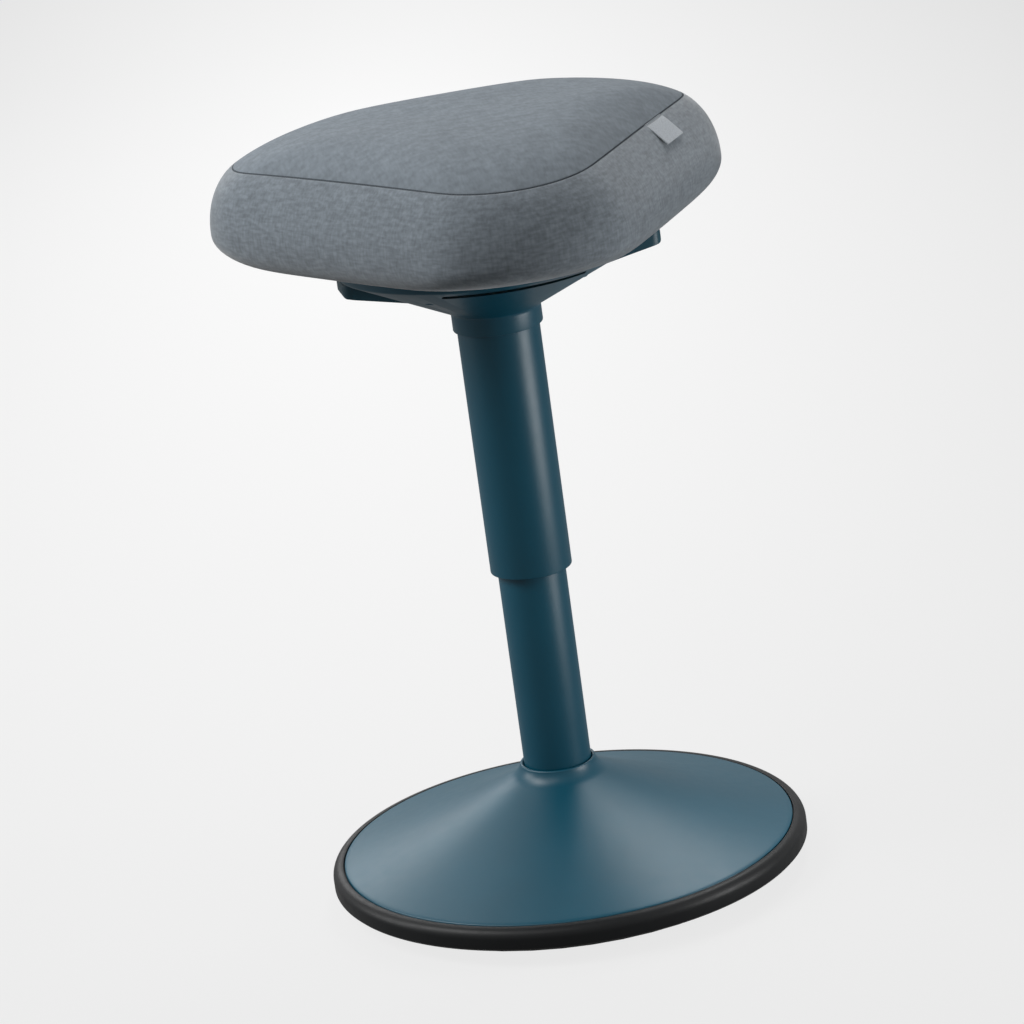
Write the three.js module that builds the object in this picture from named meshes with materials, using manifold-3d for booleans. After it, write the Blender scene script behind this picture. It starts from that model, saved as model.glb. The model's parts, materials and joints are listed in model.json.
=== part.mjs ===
// Perch stool: a padded three-cornered seat on a gas lift, two release paddles, and a heavy rocking foot.
// Millimetres, +Z up. The origin is on the floor, under the column's axis. The seat's single corner is on -Y.

import * as THREE from 'three';
import { mergeVertices } from 'three/addons/utils/BufferGeometryUtils.js';
import Module from 'manifold-3d';

const wasm = await Module();
wasm.setup();

// Clearances
const seatGap = 0.3;
const slideGap = 0.08;
const overrun = 5;
const smallEdge = 1;
const joinDepth = 1;

// Driving heights over the floor
const rimHeight = 30;
const collarHeight = 64.5;
const neckLowerEdge = 426;
const neckHeight = 14;
const padStandOff = 3.69;
const liftTravel = 130;

// Foot
const rimRadius = 168;
const rimGroove = 0.9;
const ringWidth = 9.5;
const ringShoulder = 7.5;
const ringFootHeight = 13.5;
const ringFootEdge = 2;
const ringWall = 5.5;
const domeWall = 2.5;
const domeShoulderStep = 10;
const domeShoulderDrop = 10;
const domeControlShare = 0.42;
const domeControlRise = 21.5;
const beadRadius = 2.6;
const rockShare = 0.57;
const soleSetback = 2;
const soleRise = 9;
const soleThickness = 12.5;
const basePlateSetback = 8;
const basePlateThickness = 3;
const ballastBoreGap = 5;
const ballastSetback = 16;
const ballastOuterHeight = 4;
const ballastInnerHeight = 10;
const ballastEdge = 2;
const soleScrewCircle = 74;
const soleScrewCount = 4;

// Column
const tubeRadius = 25;
const tubeWall = 2;
const stopClearance = 4;
const tubeFloor = 4;
const tubeFloorHole = 8;
const hubWall = 4;
const hubTop = 84;
const bushLength = 74;
const bushFlange = 3;
const sleeveLap = 38.5;
const sleeveStep = 5;
const sleeveWall = 1.5;
const glideLength = 14;
const glideSetback = 2;
const glideLeadIn = 0.7;
const bushThickness = 9;
const cylinderWall = 2;
const cylinderTail = 14;
const cylinderBoreDrop = 48;
const taperLength = 34;
const taperNarrowing = 0.8;
const glandLength = 15;
const glandSetback = 1;
const rodRadius = 5;
const rodEndRadius = 4;
const rodLower = 13.2;
const rodTail = 2;
const pistonLength = 12;
const pistonLift = 8;
const raceThickness = 2.5;
const raceSetback = 4;
const raceHole = 9;
const cageThickness = 4;
const cageGap = 1;
const bearingBalls = 6;
const clipThickness = 1.4;
const clipRadius = 8.5;
const bumperRadius = 14;
const bumperLength = 16;
const bumperEdge = 3;

// Head
const neckStep = 2.7;
const neckWall = 2.2;
const headRadius = 112;
const headRimHeight = 9;
const headSlopeShare = 0.512;
const headWall = 3;
const headWeb = 4;
const socketWall = 8;
const socketDepth = 23;
const socketRise = 18;
const socketLip = 6;
const mountPlateSetback = 22;
const mountPlateThickness = 4;
const headPostSetback = 16;
const headPostRadius = 7;
const slotHalfWidth = 39;
const slotHeight = 4.5;
const slotSetback = 11;

// Paddles
const paddleWidth = 34;
const paddlePivot = 37;
const paddlePivotRise = 1.4;
const leftTipSetback = 2;
const rightTipReach = 12.5;
const paddleTipRise = 4.5;
const paddleTipHeight = 11;
const paddleTipRadius = 4;
const paddleRootDrop = 9.5;
const paddleRootOffset = 12;
const paddleBellyOffset = 20;
const paddleBellyRise = 5;
const paddleHubRadius = 7;
const paddleNeck = 10;
const paddleCornerRadius = 8;
const fingerWidth = 12;
const fingerReach = 1.6;
const fingerThickness = 5;
const pinRadius = 3;
const earThickness = 3;
const earWidth = 14;
const earMargin = 4;
const pinOverhang = 1;
const capRadius = 8;
const capThickness = 3;
const valvePinRadius = 3.5;
const valvePinDepth = 6;

// Seat
const noseReach = 91.6;
const heelDepth = 53.3;
const heelHalfWidth = 92.8;
const cornerRadius = 95.5;
const cornerBlendShare = 10.5;
const roundReach = 83.7;
const lowerRoundShare = 0.45;
const crownRoundShare = 0.61;
const seamInset = 22.8;
const seamRise = 68.8;
const bulgeRise = 19.4;
const lowerTuck = 30.4;
const cornerDroop = 4.7;
const crownRise = 20.8;
const crownFullnessShare = 5;
const crownSpreadShares = [1, 0.93, 0.85, 0.75, 0.6, 0.35, 0];
const sidePackingShare = 0.25;
const coverThickness = 1.5;
const coverHem = 24;
const panInset = 31.5;
const panRoundShare = 0.45;
const panThickness = 12;
const seatScrewShareX = 0.311;
const seatScrewShareY = 0.689;
const screwRadius = 3;
const screwHeadRadius = 5.5;
const screwHeadThickness = 3.2;
const screwSocketRadius = 1.6;
const housingScrewLength = 12.5;
const nutRadius = 4.5;
const nutFlangeRadius = 9;
const nutFlange = 1.5;
const nutSetback = 1;
const tagWidth = 34;
const tagLength = 19;
const tagThickness = 0.9;
const tagSeamGap = 2;
const tagStandOff = 0.5;
const tagPlaceShare = 0.73;

// Facets
const wideFacets = 48;
const tubeFacets = 32;
const smallFacets = 14;
const screwFacets = 8;
const outlineFacets = 42;

// Derived sizes
const sleeveRadius = tubeRadius + sleeveStep;
const neckRadius = sleeveRadius + neckStep;
const cylinderRadius = tubeRadius - tubeWall - bushThickness;
const taperTopRadius = cylinderRadius - taperNarrowing;
const socketRadius = cylinderRadius + socketWall;
const raceRadius = tubeRadius - tubeWall - raceSetback;
const domeShoulderRadius = tubeRadius + domeShoulderStep;
const ringRadius = rimRadius + ringWidth;
const soleRadius = rimRadius - soleSetback;
const rockRadius = rockShare * soleRadius;
const basePlateRadius = soleRadius - basePlateSetback;
const ballastOuterRadius = basePlateRadius - ballastSetback;
const ballastInnerRadius = tubeRadius + 3 * hubWall + ballastBoreGap;
const slotRadius = headRadius - slotSetback;
const mountPlateRadius = headRadius - mountPlateSetback;
const headPostCircle = mountPlateRadius - headPostSetback;
const leftPaddleReach = headRadius - leftTipSetback;
const rightPaddleReach = headRadius + rightTipReach;
const soleTop = soleThickness;
const plateBottom = soleTop + seatGap;
const plateTop = plateBottom + basePlateThickness;
const tubeBottom = plateTop + seatGap;
const raceBottom = tubeBottom + tubeFloor + seatGap;
const cageBottom = raceBottom + raceThickness + seatGap;
const upperRaceBottom = cageBottom + cageThickness + seatGap;
const rodShoulder = upperRaceBottom + raceThickness + seatGap;
const beadTop = rimHeight + collarHeight;
const neckTop = neckLowerEdge + neckHeight;
const socketTop = neckTop + socketRise;
const socketBottom = neckTop - socketDepth;
const cylinderTop = socketTop - socketLip;
const cylinderBoreTop = cylinderTop - cylinderBoreDrop;
const tubeTop = socketBottom - liftTravel - bushFlange - stopClearance;
const sleeveLowerEdge = tubeTop - sleeveLap;
const cylinderLower = tubeTop - bushLength - cylinderTail;
const headRimBottom = neckTop + (headRadius - neckRadius) * headSlopeShare;
const headTop = headRimBottom + headRimHeight;
const padLowerEdge = headTop + padStandOff;
const panBottom = padLowerEdge + coverThickness + seatGap;
const panTop = panBottom + panThickness;
const mountPlateTop = panBottom - seatGap;
const mountPlateBottom = mountPlateTop - mountPlateThickness;
const socketBore = cylinderRadius + seatGap;
const capBottom = socketTop + seatGap;
const capTop = capBottom + capThickness;
const paddlePivotHeight = capTop + seatGap + paddlePivotRise;
const paddleTipLower = paddlePivotHeight + paddleTipRise;
const paddleRootLower = paddlePivotHeight - paddleRootDrop;

// Materials
const coat = new THREE.MeshStandardMaterial({ color: 0x1e4c5c, roughness: 0.42, metalness: 0.2 });
const lever = new THREE.MeshStandardMaterial({ color: 0x1b4654, roughness: 0.4, metalness: 0 });
const rubber = new THREE.MeshStandardMaterial({ color: 0x17181a, roughness: 0.7, metalness: 0 });
const steel = new THREE.MeshStandardMaterial({ color: 0x9a9da0, roughness: 0.35, metalness: 1 });
const iron = new THREE.MeshStandardMaterial({ color: 0x3a3b3d, roughness: 0.8, metalness: 0.6 });
const polymer = new THREE.MeshStandardMaterial({ color: 0xd8d6cf, roughness: 0.55, metalness: 0 });
const ply = new THREE.MeshStandardMaterial({ color: 0xb98f5d, roughness: 0.65, metalness: 0 });
const foam = new THREE.MeshStandardMaterial({ color: 0xd9cfae, roughness: 0.95, metalness: 0 });
const cloth = new THREE.MeshStandardMaterial({ color: 0x747c85, roughness: 0.95, metalness: 0 });
const label = new THREE.MeshStandardMaterial({ color: 0xb6bbc1, roughness: 0.9, metalness: 0 });

// Closes a geometry's seams, drops its flat triangles and turns its faces outward
function closed(geometry) {
  const bare = new THREE.BufferGeometry();
  bare.setAttribute('position', geometry.getAttribute('position').clone());
  if (geometry.index) bare.setIndex(geometry.index.clone());
  const merged = mergeVertices(bare, 1e-4);
  const corners = merged.index.array;
  const kept = [];
  for (let i = 0; i < corners.length; i += 3) {
    const [a, b, c] = [corners[i], corners[i + 1], corners[i + 2]];
    if (a !== b && b !== c && c !== a) kept.push(a, b, c);
  }
  if (enclosedVolume(merged, kept) < 0) kept.reverse();
  merged.setIndex(kept);
  return merged;
}

function enclosedVolume(geometry, corners) {
  const position = geometry.getAttribute('position');
  const [a, b, c] = [new THREE.Vector3(), new THREE.Vector3(), new THREE.Vector3()];
  let volume = 0;
  for (let i = 0; i < corners.length; i += 3) {
    a.fromBufferAttribute(position, corners[i]);
    b.fromBufferAttribute(position, corners[i + 1]);
    c.fromBufferAttribute(position, corners[i + 2]);
    volume += a.dot(b.cross(c)) / 6;
  }
  return volume;
}

function toSolid(geometry) {
  const source = closed(geometry);
  return new wasm.Manifold(new wasm.Mesh({
    numProp: 3,
    vertProperties: new Float32Array(source.getAttribute('position').array),
    triVerts: new Uint32Array(source.index.array),
  }));
}

function toGeometry(solid) {
  const mesh = solid.getMesh();
  const geometry = new THREE.BufferGeometry();
  geometry.setAttribute('position', new THREE.BufferAttribute(new Float32Array(mesh.vertProperties), 3));
  geometry.setIndex([...mesh.triVerts]);
  return geometry;
}

function cut(geometry, cutters) {
  let solid = toSolid(geometry);
  for (const cutter of cutters) solid = solid.subtract(toSolid(cutter));
  return toGeometry(solid);
}

function join(geometry, additions) {
  let solid = toSolid(geometry);
  for (const addition of additions) solid = solid.add(toSolid(addition));
  return toGeometry(solid);
}

// Revolves a profile of [radius, height] points about Z. A profile off the axis closes on itself.
function turned(points, facets) {
  const onAxis = points[0][0] === 0 && points[points.length - 1][0] === 0;
  const profile = onAxis ? points : [...points, points[0]];
  const geometry = new THREE.LatheGeometry(profile.map(([r, z]) => new THREE.Vector2(r, z)), facets);
  return closed(geometry.rotateX(Math.PI / 2));
}

function tube(inner, outer, bottom, top, facets) {
  return turned([[inner, bottom], [outer, bottom], [outer, top], [inner, top]], facets);
}

function rod(radius, bottom, top, facets) {
  return turned([[0, bottom], [radius, bottom], [radius, top], [0, top]], facets);
}

function box(width, depth, height, x, y, z) {
  return new THREE.BoxGeometry(width, depth, height).translate(x, y, z);
}

// Places a copy of a tool at equal steps on a circle
function onCircle(count, radius, startAngle, make) {
  const copies = [];
  for (let i = 0; i < count; i += 1) {
    const angle = startAngle + (i * 2 * Math.PI) / count;
    copies.push(make().translate(radius * Math.cos(angle), radius * Math.sin(angle), 0));
  }
  return copies;
}

function arcPoints(centreR, centreZ, radius, startAngle, endAngle, steps) {
  const points = [];
  for (let i = 0; i <= steps; i += 1) {
    const angle = startAngle + ((endAngle - startAngle) * i) / steps;
    points.push([centreR + radius * Math.cos(angle), centreZ + radius * Math.sin(angle)]);
  }
  return points;
}

function piece(name, geometry, material) {
  const mesh = new THREE.Mesh(closed(geometry), material);
  mesh.name = name;
  return mesh;
}

const stool = new THREE.Group();
const foot = new THREE.Group();
const rodGroup = new THREE.Group();
const head = new THREE.Group();
const seat = new THREE.Group();
stool.add(foot, rodGroup, head, seat);

// Foot: sole, rim ring, dome, base plate, ballast and hub

function soleProfile() {
  const rockSize = (soleRadius - rockRadius) ** 2;
  const points = [[0, 0], [rockRadius, 0]];
  const steps = 4;
  for (let i = 1; i <= steps; i += 1) {
    const radius = rockRadius + ((soleRadius - rockRadius) * i) / steps;
    points.push([radius, (soleRise * (radius - rockRadius) ** 2) / rockSize]);
  }
  points.push([soleRadius, soleTop], [0, soleTop]);
  return points;
}

const soleScrewSeat = () => (
  rod(screwHeadRadius + seatGap, -overrun, screwHeadThickness + 2 * seatGap, screwFacets));
const soleScrewWay = () => rod(screwRadius + seatGap, -overrun, plateTop + overrun, screwFacets);
const soleScrewCuts = [
  ...onCircle(soleScrewCount, soleScrewCircle, Math.PI / 4, soleScrewSeat),
  ...onCircle(soleScrewCount, soleScrewCircle, Math.PI / 4, soleScrewWay),
];
foot.add(piece('rocker_sole', cut(turned(soleProfile(), wideFacets), soleScrewCuts), rubber));

function ringProfile() {
  const top = rimHeight - seatGap;
  const inner = ringRadius - ringWall - ringShoulder;
  const lip = rimRadius + rimGroove;
  const ledge = rimHeight - domeWall - 2 * seatGap;
  const shoulderCentre = [ringRadius - ringShoulder, top - ringShoulder];
  const shoulder = arcPoints(...shoulderCentre, ringShoulder, 0, Math.PI / 2, 4);
  return [
    [soleRadius + seatGap, ringFootHeight - ringFootEdge],
    [ringRadius - ringFootEdge, ringFootHeight],
    [ringRadius, ringFootHeight + ringFootEdge],
    ...shoulder,
    [lip, top],
    [lip, ledge],
    [inner, ledge],
    [inner, soleTop + seatGap],
    [soleRadius + seatGap, soleTop + seatGap],
  ];
}
foot.add(piece('rim_ring', turned(ringProfile(), wideFacets), rubber));

// The dome's flank is a shallow hollow curve from the bead's foot to the rim
function domeCurve(drop, startRadius, endRadius, steps) {
  const start = new THREE.Vector2(startRadius, beadTop - domeShoulderDrop - drop);
  const end = new THREE.Vector2(endRadius, rimHeight - drop);
  const control = new THREE.Vector2(
    start.x + (end.x - start.x) * domeControlShare,
    rimHeight + domeControlRise - drop,
  );
  return new THREE.QuadraticBezierCurve(start, control, end).getPoints(steps).map((p) => [p.x, p.y]);
}

function domeProfile() {
  const boreRadius = tubeRadius + 2 * seatGap;
  const bead = arcPoints(boreRadius + beadRadius, beadTop - beadRadius, beadRadius, Math.PI, 0, 6);
  const underside = domeCurve(domeWall, domeShoulderRadius + domeWall, rimRadius - domeWall, 4).reverse();
  return [
    ...bead,
    ...domeCurve(0, domeShoulderRadius, rimRadius, 7),
    [rimRadius, rimHeight - domeWall],
    ...underside.slice(1),
    [tubeRadius + hubWall, hubTop + seatGap],
    [boreRadius, hubTop + seatGap],
  ];
}
foot.add(piece('base_dome', turned(domeProfile(), wideFacets), coat));

const plateHoles = onCircle(soleScrewCount, soleScrewCircle, Math.PI / 4, soleScrewWay);
foot.add(piece('base_plate',
  cut(tube(clipRadius + 4 * seatGap, basePlateRadius, plateBottom, plateTop, wideFacets), plateHoles), steel));

function ballastProfile() {
  const bottom = plateTop + seatGap;
  return [
    [ballastInnerRadius, bottom],
    [ballastOuterRadius, bottom],
    [ballastOuterRadius, bottom + ballastOuterHeight - ballastEdge],
    [ballastOuterRadius - ballastEdge, bottom + ballastOuterHeight],
    [ballastInnerRadius + ballastEdge, bottom + ballastInnerHeight],
    [ballastInnerRadius, bottom + ballastInnerHeight - ballastEdge],
  ];
}
const ballastThreads = onCircle(soleScrewCount, soleScrewCircle, Math.PI / 4,
  () => rod(screwRadius + seatGap, plateTop - overrun, plateTop + ballastInnerHeight + overrun, screwFacets));
foot.add(piece('ballast_ring', cut(turned(ballastProfile(), wideFacets), ballastThreads), iron));

foot.add(piece('hub_socket', turned([
  [tubeRadius + slideGap, plateTop + seatGap],
  [tubeRadius + 3 * hubWall, plateTop + seatGap],
  [tubeRadius + 3 * hubWall, plateTop + hubWall],
  [tubeRadius + 2 * hubWall, plateTop + 2 * hubWall],
  [tubeRadius + hubWall, plateTop + 4 * hubWall],
  [tubeRadius + hubWall, hubTop],
  [tubeRadius + slideGap, hubTop],
], tubeFacets), steel));

function screwProfile(headBottom, length, direction) {
  const headEnd = headBottom + direction * screwHeadThickness;
  return [
    [0, headBottom + direction * screwSocketRadius],
    [screwSocketRadius, headBottom + direction * screwSocketRadius],
    [screwSocketRadius, headBottom],
    [screwHeadRadius, headBottom],
    [screwHeadRadius, headEnd],
    [screwRadius, headEnd],
    [screwRadius, headBottom + direction * length],
    [0, headBottom + direction * length],
  ];
}

function addScrews(group, prefix, places, headBottom, length, direction) {
  places.forEach(([x, y], i) => {
    const profile = screwProfile(headBottom, length, direction);
    const screw = piece(`${prefix}_${i + 1}`, turned(profile, screwFacets), steel);
    screw.position.set(x, y, 0);
    group.add(screw);
  });
}

function circlePlaces(count, radius, startAngle) {
  return Array.from({ length: count }, (_, i) => {
    const angle = startAngle + (i * 2 * Math.PI) / count;
    return [radius * Math.cos(angle), radius * Math.sin(angle)];
  });
}
const soleScrewLength = plateTop + 2 * overrun - seatGap;
const soleScrewPlaces = circlePlaces(soleScrewCount, soleScrewCircle, Math.PI / 4);
addScrews(foot, 'sole_screw', soleScrewPlaces, seatGap, soleScrewLength, 1);

// Column: stand tube, guide bush and the thrust bearing in the tube's floor

foot.add(piece('stand_tube', turned([
  [tubeFloorHole, tubeBottom],
  [tubeRadius, tubeBottom],
  [tubeRadius, tubeTop - smallEdge],
  [tubeRadius - smallEdge, tubeTop],
  [tubeRadius - tubeWall, tubeTop],
  [tubeRadius - tubeWall, tubeBottom + tubeFloor],
  [tubeFloorHole, tubeBottom + tubeFloor],
], tubeFacets), coat));

const bushBore = cylinderRadius + slideGap;
const bushOuter = tubeRadius - tubeWall - slideGap;
foot.add(piece('guide_bush', turned([
  [bushBore, tubeTop - bushLength],
  [bushOuter, tubeTop - bushLength],
  [bushOuter, tubeTop + seatGap],
  [tubeRadius - smallEdge, tubeTop + seatGap],
  [tubeRadius - smallEdge, tubeTop + bushFlange],
  [bushBore, tubeTop + bushFlange],
], tubeFacets), polymer));

foot.add(piece('lower_race',
  tube(raceHole, raceRadius, raceBottom, raceBottom + raceThickness, tubeFacets), steel));
const cageCircle = (raceHole + raceRadius) / 2;
const cageWindow = () => (
  rod(cageThickness / 2 + seatGap, cageBottom - overrun, cageBottom + 2 * overrun, screwFacets));
const cageTop = cageBottom + cageThickness - cageGap;
const cageBlank = tube(raceHole + cageGap, raceRadius - cageGap, cageBottom + cageGap, cageTop, tubeFacets);
foot.add(piece('ball_cage', cut(cageBlank, onCircle(bearingBalls, cageCircle, 0, cageWindow)), polymer));
circlePlaces(bearingBalls, cageCircle, 0).forEach(([x, y], i) => {
  const ball = piece(`bearing_ball_${i + 1}`, new THREE.SphereGeometry(cageThickness / 2, 8, 6), steel);
  ball.position.set(x, y, cageBottom + cageThickness / 2);
  foot.add(ball);
});

// What turns in the foot: upper race, rod, clip, bumper and piston

const pistonBottom = cylinderLower + glandLength + pistonLift;
const upperRaceTop = upperRaceBottom + raceThickness;
rodGroup.add(piece('upper_race',
  tube(rodEndRadius + seatGap, raceRadius, upperRaceBottom, upperRaceTop, tubeFacets), steel));
rodGroup.add(piece('piston_rod', turned([
  [0, rodLower],
  [rodEndRadius, rodLower],
  [rodEndRadius, rodShoulder],
  [rodRadius, rodShoulder],
  [rodRadius, pistonBottom - seatGap],
  [rodEndRadius, pistonBottom - seatGap],
  [rodEndRadius, pistonBottom + pistonLength + rodTail],
  [0, pistonBottom + pistonLength + rodTail],
], smallFacets), steel));
const clipTop = tubeBottom - seatGap;
rodGroup.add(piece('retaining_clip',
  tube(rodEndRadius + seatGap, clipRadius, clipTop - clipThickness, clipTop, smallFacets), steel));
rodGroup.add(piece('rod_bumper', turned([
  [rodRadius + seatGap, rodShoulder + seatGap],
  [bumperRadius, rodShoulder + seatGap],
  [bumperRadius, rodShoulder + bumperLength - bumperEdge],
  [bumperRadius - bumperEdge, rodShoulder + bumperLength],
  [rodRadius + seatGap, rodShoulder + bumperLength],
], smallFacets), rubber));
rodGroup.add(piece('lift_piston', turned([
  [rodEndRadius + seatGap, pistonBottom],
  [cylinderRadius - cylinderWall - seatGap, pistonBottom],
  [cylinderRadius - cylinderWall - seatGap, pistonBottom + pistonLength],
  [rodEndRadius + seatGap, pistonBottom + pistonLength],
], smallFacets), steel));

// What rises with the seat: cylinder, gland, sleeve and glide

const valveWay = valvePinRadius + slideGap;
head.add(piece('gas_cylinder', turned([
  [cylinderRadius - cylinderWall, cylinderLower],
  [cylinderRadius, cylinderLower],
  [cylinderRadius, cylinderTop - taperLength],
  [taperTopRadius, cylinderTop - smallEdge],
  [taperTopRadius - smallEdge, cylinderTop],
  [valveWay, cylinderTop],
  [valveWay, cylinderBoreTop],
  [cylinderRadius - cylinderWall, cylinderBoreTop],
], tubeFacets), steel));
head.add(piece('rod_gland', tube(rodRadius + slideGap, cylinderRadius - cylinderWall - slideGap,
  cylinderLower + glandSetback, cylinderLower + glandLength, smallFacets), polymer));

head.add(piece('cover_sleeve', turned([
  [sleeveRadius - sleeveWall, sleeveLowerEdge + smallEdge],
  [sleeveRadius - smallEdge, sleeveLowerEdge],
  [sleeveRadius, sleeveLowerEdge + smallEdge],
  [sleeveRadius, neckTop - seatGap],
  [sleeveRadius - sleeveWall, neckTop - seatGap],
], tubeFacets), coat));
const glideLower = sleeveLowerEdge + glideSetback;
head.add(piece('sleeve_glide', turned([
  [tubeRadius + seatGap, glideLower],
  [sleeveRadius - sleeveWall - slideGap, glideLower],
  [sleeveRadius - sleeveWall - slideGap, glideLower + glideLength],
  [tubeRadius + seatGap + glideLeadIn, glideLower + glideLength],
  [tubeRadius + seatGap, glideLower + glideLength - 3 * glideLeadIn],
], tubeFacets), polymer));

// Head: the cast funnel with its socket, posts, paddle windows and front slot

function headProfile() {
  const inside = sleeveRadius + seatGap;
  const wallDrop = headWall * Math.sqrt(1 + headSlopeShare ** 2);
  const innerRim = headRadius - headWall;
  const innerAt = (radius) => neckTop + (radius - neckRadius) * headSlopeShare + wallDrop;
  return [
    [inside, neckLowerEdge],
    [neckRadius - smallEdge, neckLowerEdge],
    [neckRadius, neckLowerEdge + smallEdge],
    [neckRadius, neckTop - neckWall],
    [neckRadius + smallEdge, neckTop + smallEdge * headSlopeShare],
    [headRadius - smallEdge, headRimBottom - smallEdge * headSlopeShare],
    [headRadius, headRimBottom + smallEdge],
    [headRadius, headTop - smallEdge],
    [headRadius - smallEdge, headTop],
    [innerRim, headTop],
    [innerRim, innerAt(innerRim)],
    [inside, innerAt(inside)],
    [socketRadius, neckTop + headWeb],
    [socketRadius, socketTop],
    [socketBore - (cylinderRadius - taperTopRadius), socketTop],
    [socketBore - (cylinderRadius - taperTopRadius), cylinderTop],
    [socketBore, cylinderTop - taperLength],
    [socketBore, socketBottom],
    [socketRadius, socketBottom],
    [socketRadius, neckTop],
    [inside, neckTop],
  ];
}

const diagonalPlaces = (radius) => circlePlaces(4, radius, Math.PI / 4);

function headPosts() {
  const postBottom = neckTop + (headPostCircle - neckRadius) * headSlopeShare + headWall;
  return onCircle(4, headPostCircle, Math.PI / 4,
    () => rod(headPostRadius, postBottom, mountPlateBottom - seatGap, screwFacets));
}

function headPostHoles() {
  const holeBottom = mountPlateBottom - 3 * overrun;
  return onCircle(4, headPostCircle, Math.PI / 4,
    () => rod(screwRadius + seatGap, holeBottom, mountPlateTop, screwFacets));
}

function paddleWindow(side) {
  const inner = paddlePivot + overrun;
  const outer = headRadius + overrun;
  const windowWidth = paddleWidth + 4 * seatGap;
  const windowTop = headTop - headWall;
  const windowBottom = neckTop - overrun;
  return box(outer - inner, windowWidth, windowTop - windowBottom,
    side * (inner + outer) / 2, 0, (windowTop + windowBottom) / 2);
}

// The front slot runs level through the cone, with round ends
function frontSlot() {
  const slotZ = neckTop + (slotRadius - neckRadius) * headSlopeShare;
  const half = slotHeight / 2;
  const shape = new THREE.Shape();
  shape.moveTo(-slotHalfWidth + half, -half);
  shape.lineTo(slotHalfWidth - half, -half);
  shape.absarc(slotHalfWidth - half, 0, half, -Math.PI / 2, Math.PI / 2);
  shape.lineTo(-slotHalfWidth + half, half);
  shape.absarc(-slotHalfWidth + half, 0, half, Math.PI / 2, (3 * Math.PI) / 2);
  const depth = headRadius - headPostCircle + overrun;
  const slot = new THREE.ExtrudeGeometry(shape, { depth, bevelEnabled: false, curveSegments: 6 });
  return slot.rotateX(Math.PI / 2).translate(0, -headPostCircle, slotZ);
}

const headBody = join(turned(headProfile(), wideFacets), headPosts());
head.add(piece('head_housing',
  cut(headBody, [...headPostHoles(), paddleWindow(1), paddleWindow(-1), frontSlot()]), coat));

// Mounting plate with the four ears that hold the paddle pins

const seatScrewPlaces = [[1, 1], [-1, 1], [-1, -1], [1, -1]].map(([x, y]) => [
  x * seatScrewShareX * mountPlateRadius, y * seatScrewShareY * mountPlateRadius,
]);
const earOffset = paddleWidth / 2 + 2 * seatGap + earThickness / 2;
const earBottom = paddlePivotHeight - pinRadius - earMargin;

function earShape() {
  const ears = [];
  for (const side of [1, -1]) {
    for (const flank of [1, -1]) {
      ears.push(box(earWidth, earThickness, mountPlateBottom + joinDepth - earBottom,
        side * paddlePivot, flank * earOffset, (mountPlateBottom + joinDepth + earBottom) / 2));
    }
  }
  return ears;
}

function pinWay(side) {
  const radius = pinRadius + slideGap;
  const way = new THREE.CylinderGeometry(radius, radius, 3 * paddleWidth, smallFacets);
  return way.translate(side * paddlePivot, 0, paddlePivotHeight);
}

const countersinks = onCircle(4, headPostCircle, Math.PI / 4,
  () => rod(screwHeadRadius + seatGap, mountPlateTop - screwHeadThickness - seatGap,
    mountPlateTop + overrun, screwFacets));
const plateScrewHoles = seatScrewPlaces.map(([x, y]) => (
  rod(screwRadius + seatGap, mountPlateBottom - overrun, mountPlateTop + overrun, screwFacets)
    .translate(x, y, 0)));
const postScrewHoles = onCircle(4, headPostCircle, Math.PI / 4,
  () => rod(screwRadius + seatGap, mountPlateBottom - overrun, mountPlateTop + overrun, screwFacets));
const mountPlate = join(rod(mountPlateRadius, mountPlateBottom, mountPlateTop, tubeFacets), earShape());
head.add(piece('mounting_plate', cut(mountPlate,
  [...countersinks, ...plateScrewHoles, ...postScrewHoles, pinWay(1), pinWay(-1)]), steel));

addScrews(head, 'housing_screw', diagonalPlaces(headPostCircle), mountPlateTop - seatGap,
  housingScrewLength, -1);

// Paddles: blade, hub and finger in one lever, turning on its pin

function paddleShape(reach) {
  const rootX = paddlePivot + paddleRootOffset;
  const tipUpper = paddleTipLower + paddleTipHeight;
  const fingerLower = capTop + seatGap;
  const fingerUpper = fingerLower + fingerThickness;
  const hubInner = paddlePivot - paddleHubRadius;
  const hubLower = paddlePivotHeight - paddleHubRadius;
  const hubUpper = paddlePivotHeight + paddleHubRadius;
  const shape = new THREE.Shape();
  shape.moveTo(fingerReach, fingerLower);
  shape.lineTo(hubInner - pinRadius, fingerLower);
  shape.quadraticCurveTo(hubInner, hubLower, paddlePivot, hubLower);
  shape.quadraticCurveTo((paddlePivot + rootX) / 2, hubLower, rootX, paddleRootLower);
  shape.quadraticCurveTo(rootX + paddleBellyOffset, paddleRootLower + paddleBellyRise,
    reach - paddleTipRadius, paddleTipLower);
  shape.quadraticCurveTo(reach, paddleTipLower, reach, paddleTipLower + paddleTipRadius);
  shape.lineTo(reach, tipUpper - paddleTipRadius);
  shape.quadraticCurveTo(reach, tipUpper, reach - paddleTipRadius, tipUpper);
  shape.lineTo(paddlePivot + pinRadius, hubUpper);
  shape.quadraticCurveTo(paddlePivot - pinRadius, hubUpper, hubInner, fingerUpper);
  shape.lineTo(fingerReach, fingerUpper);
  return shape;
}

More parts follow.
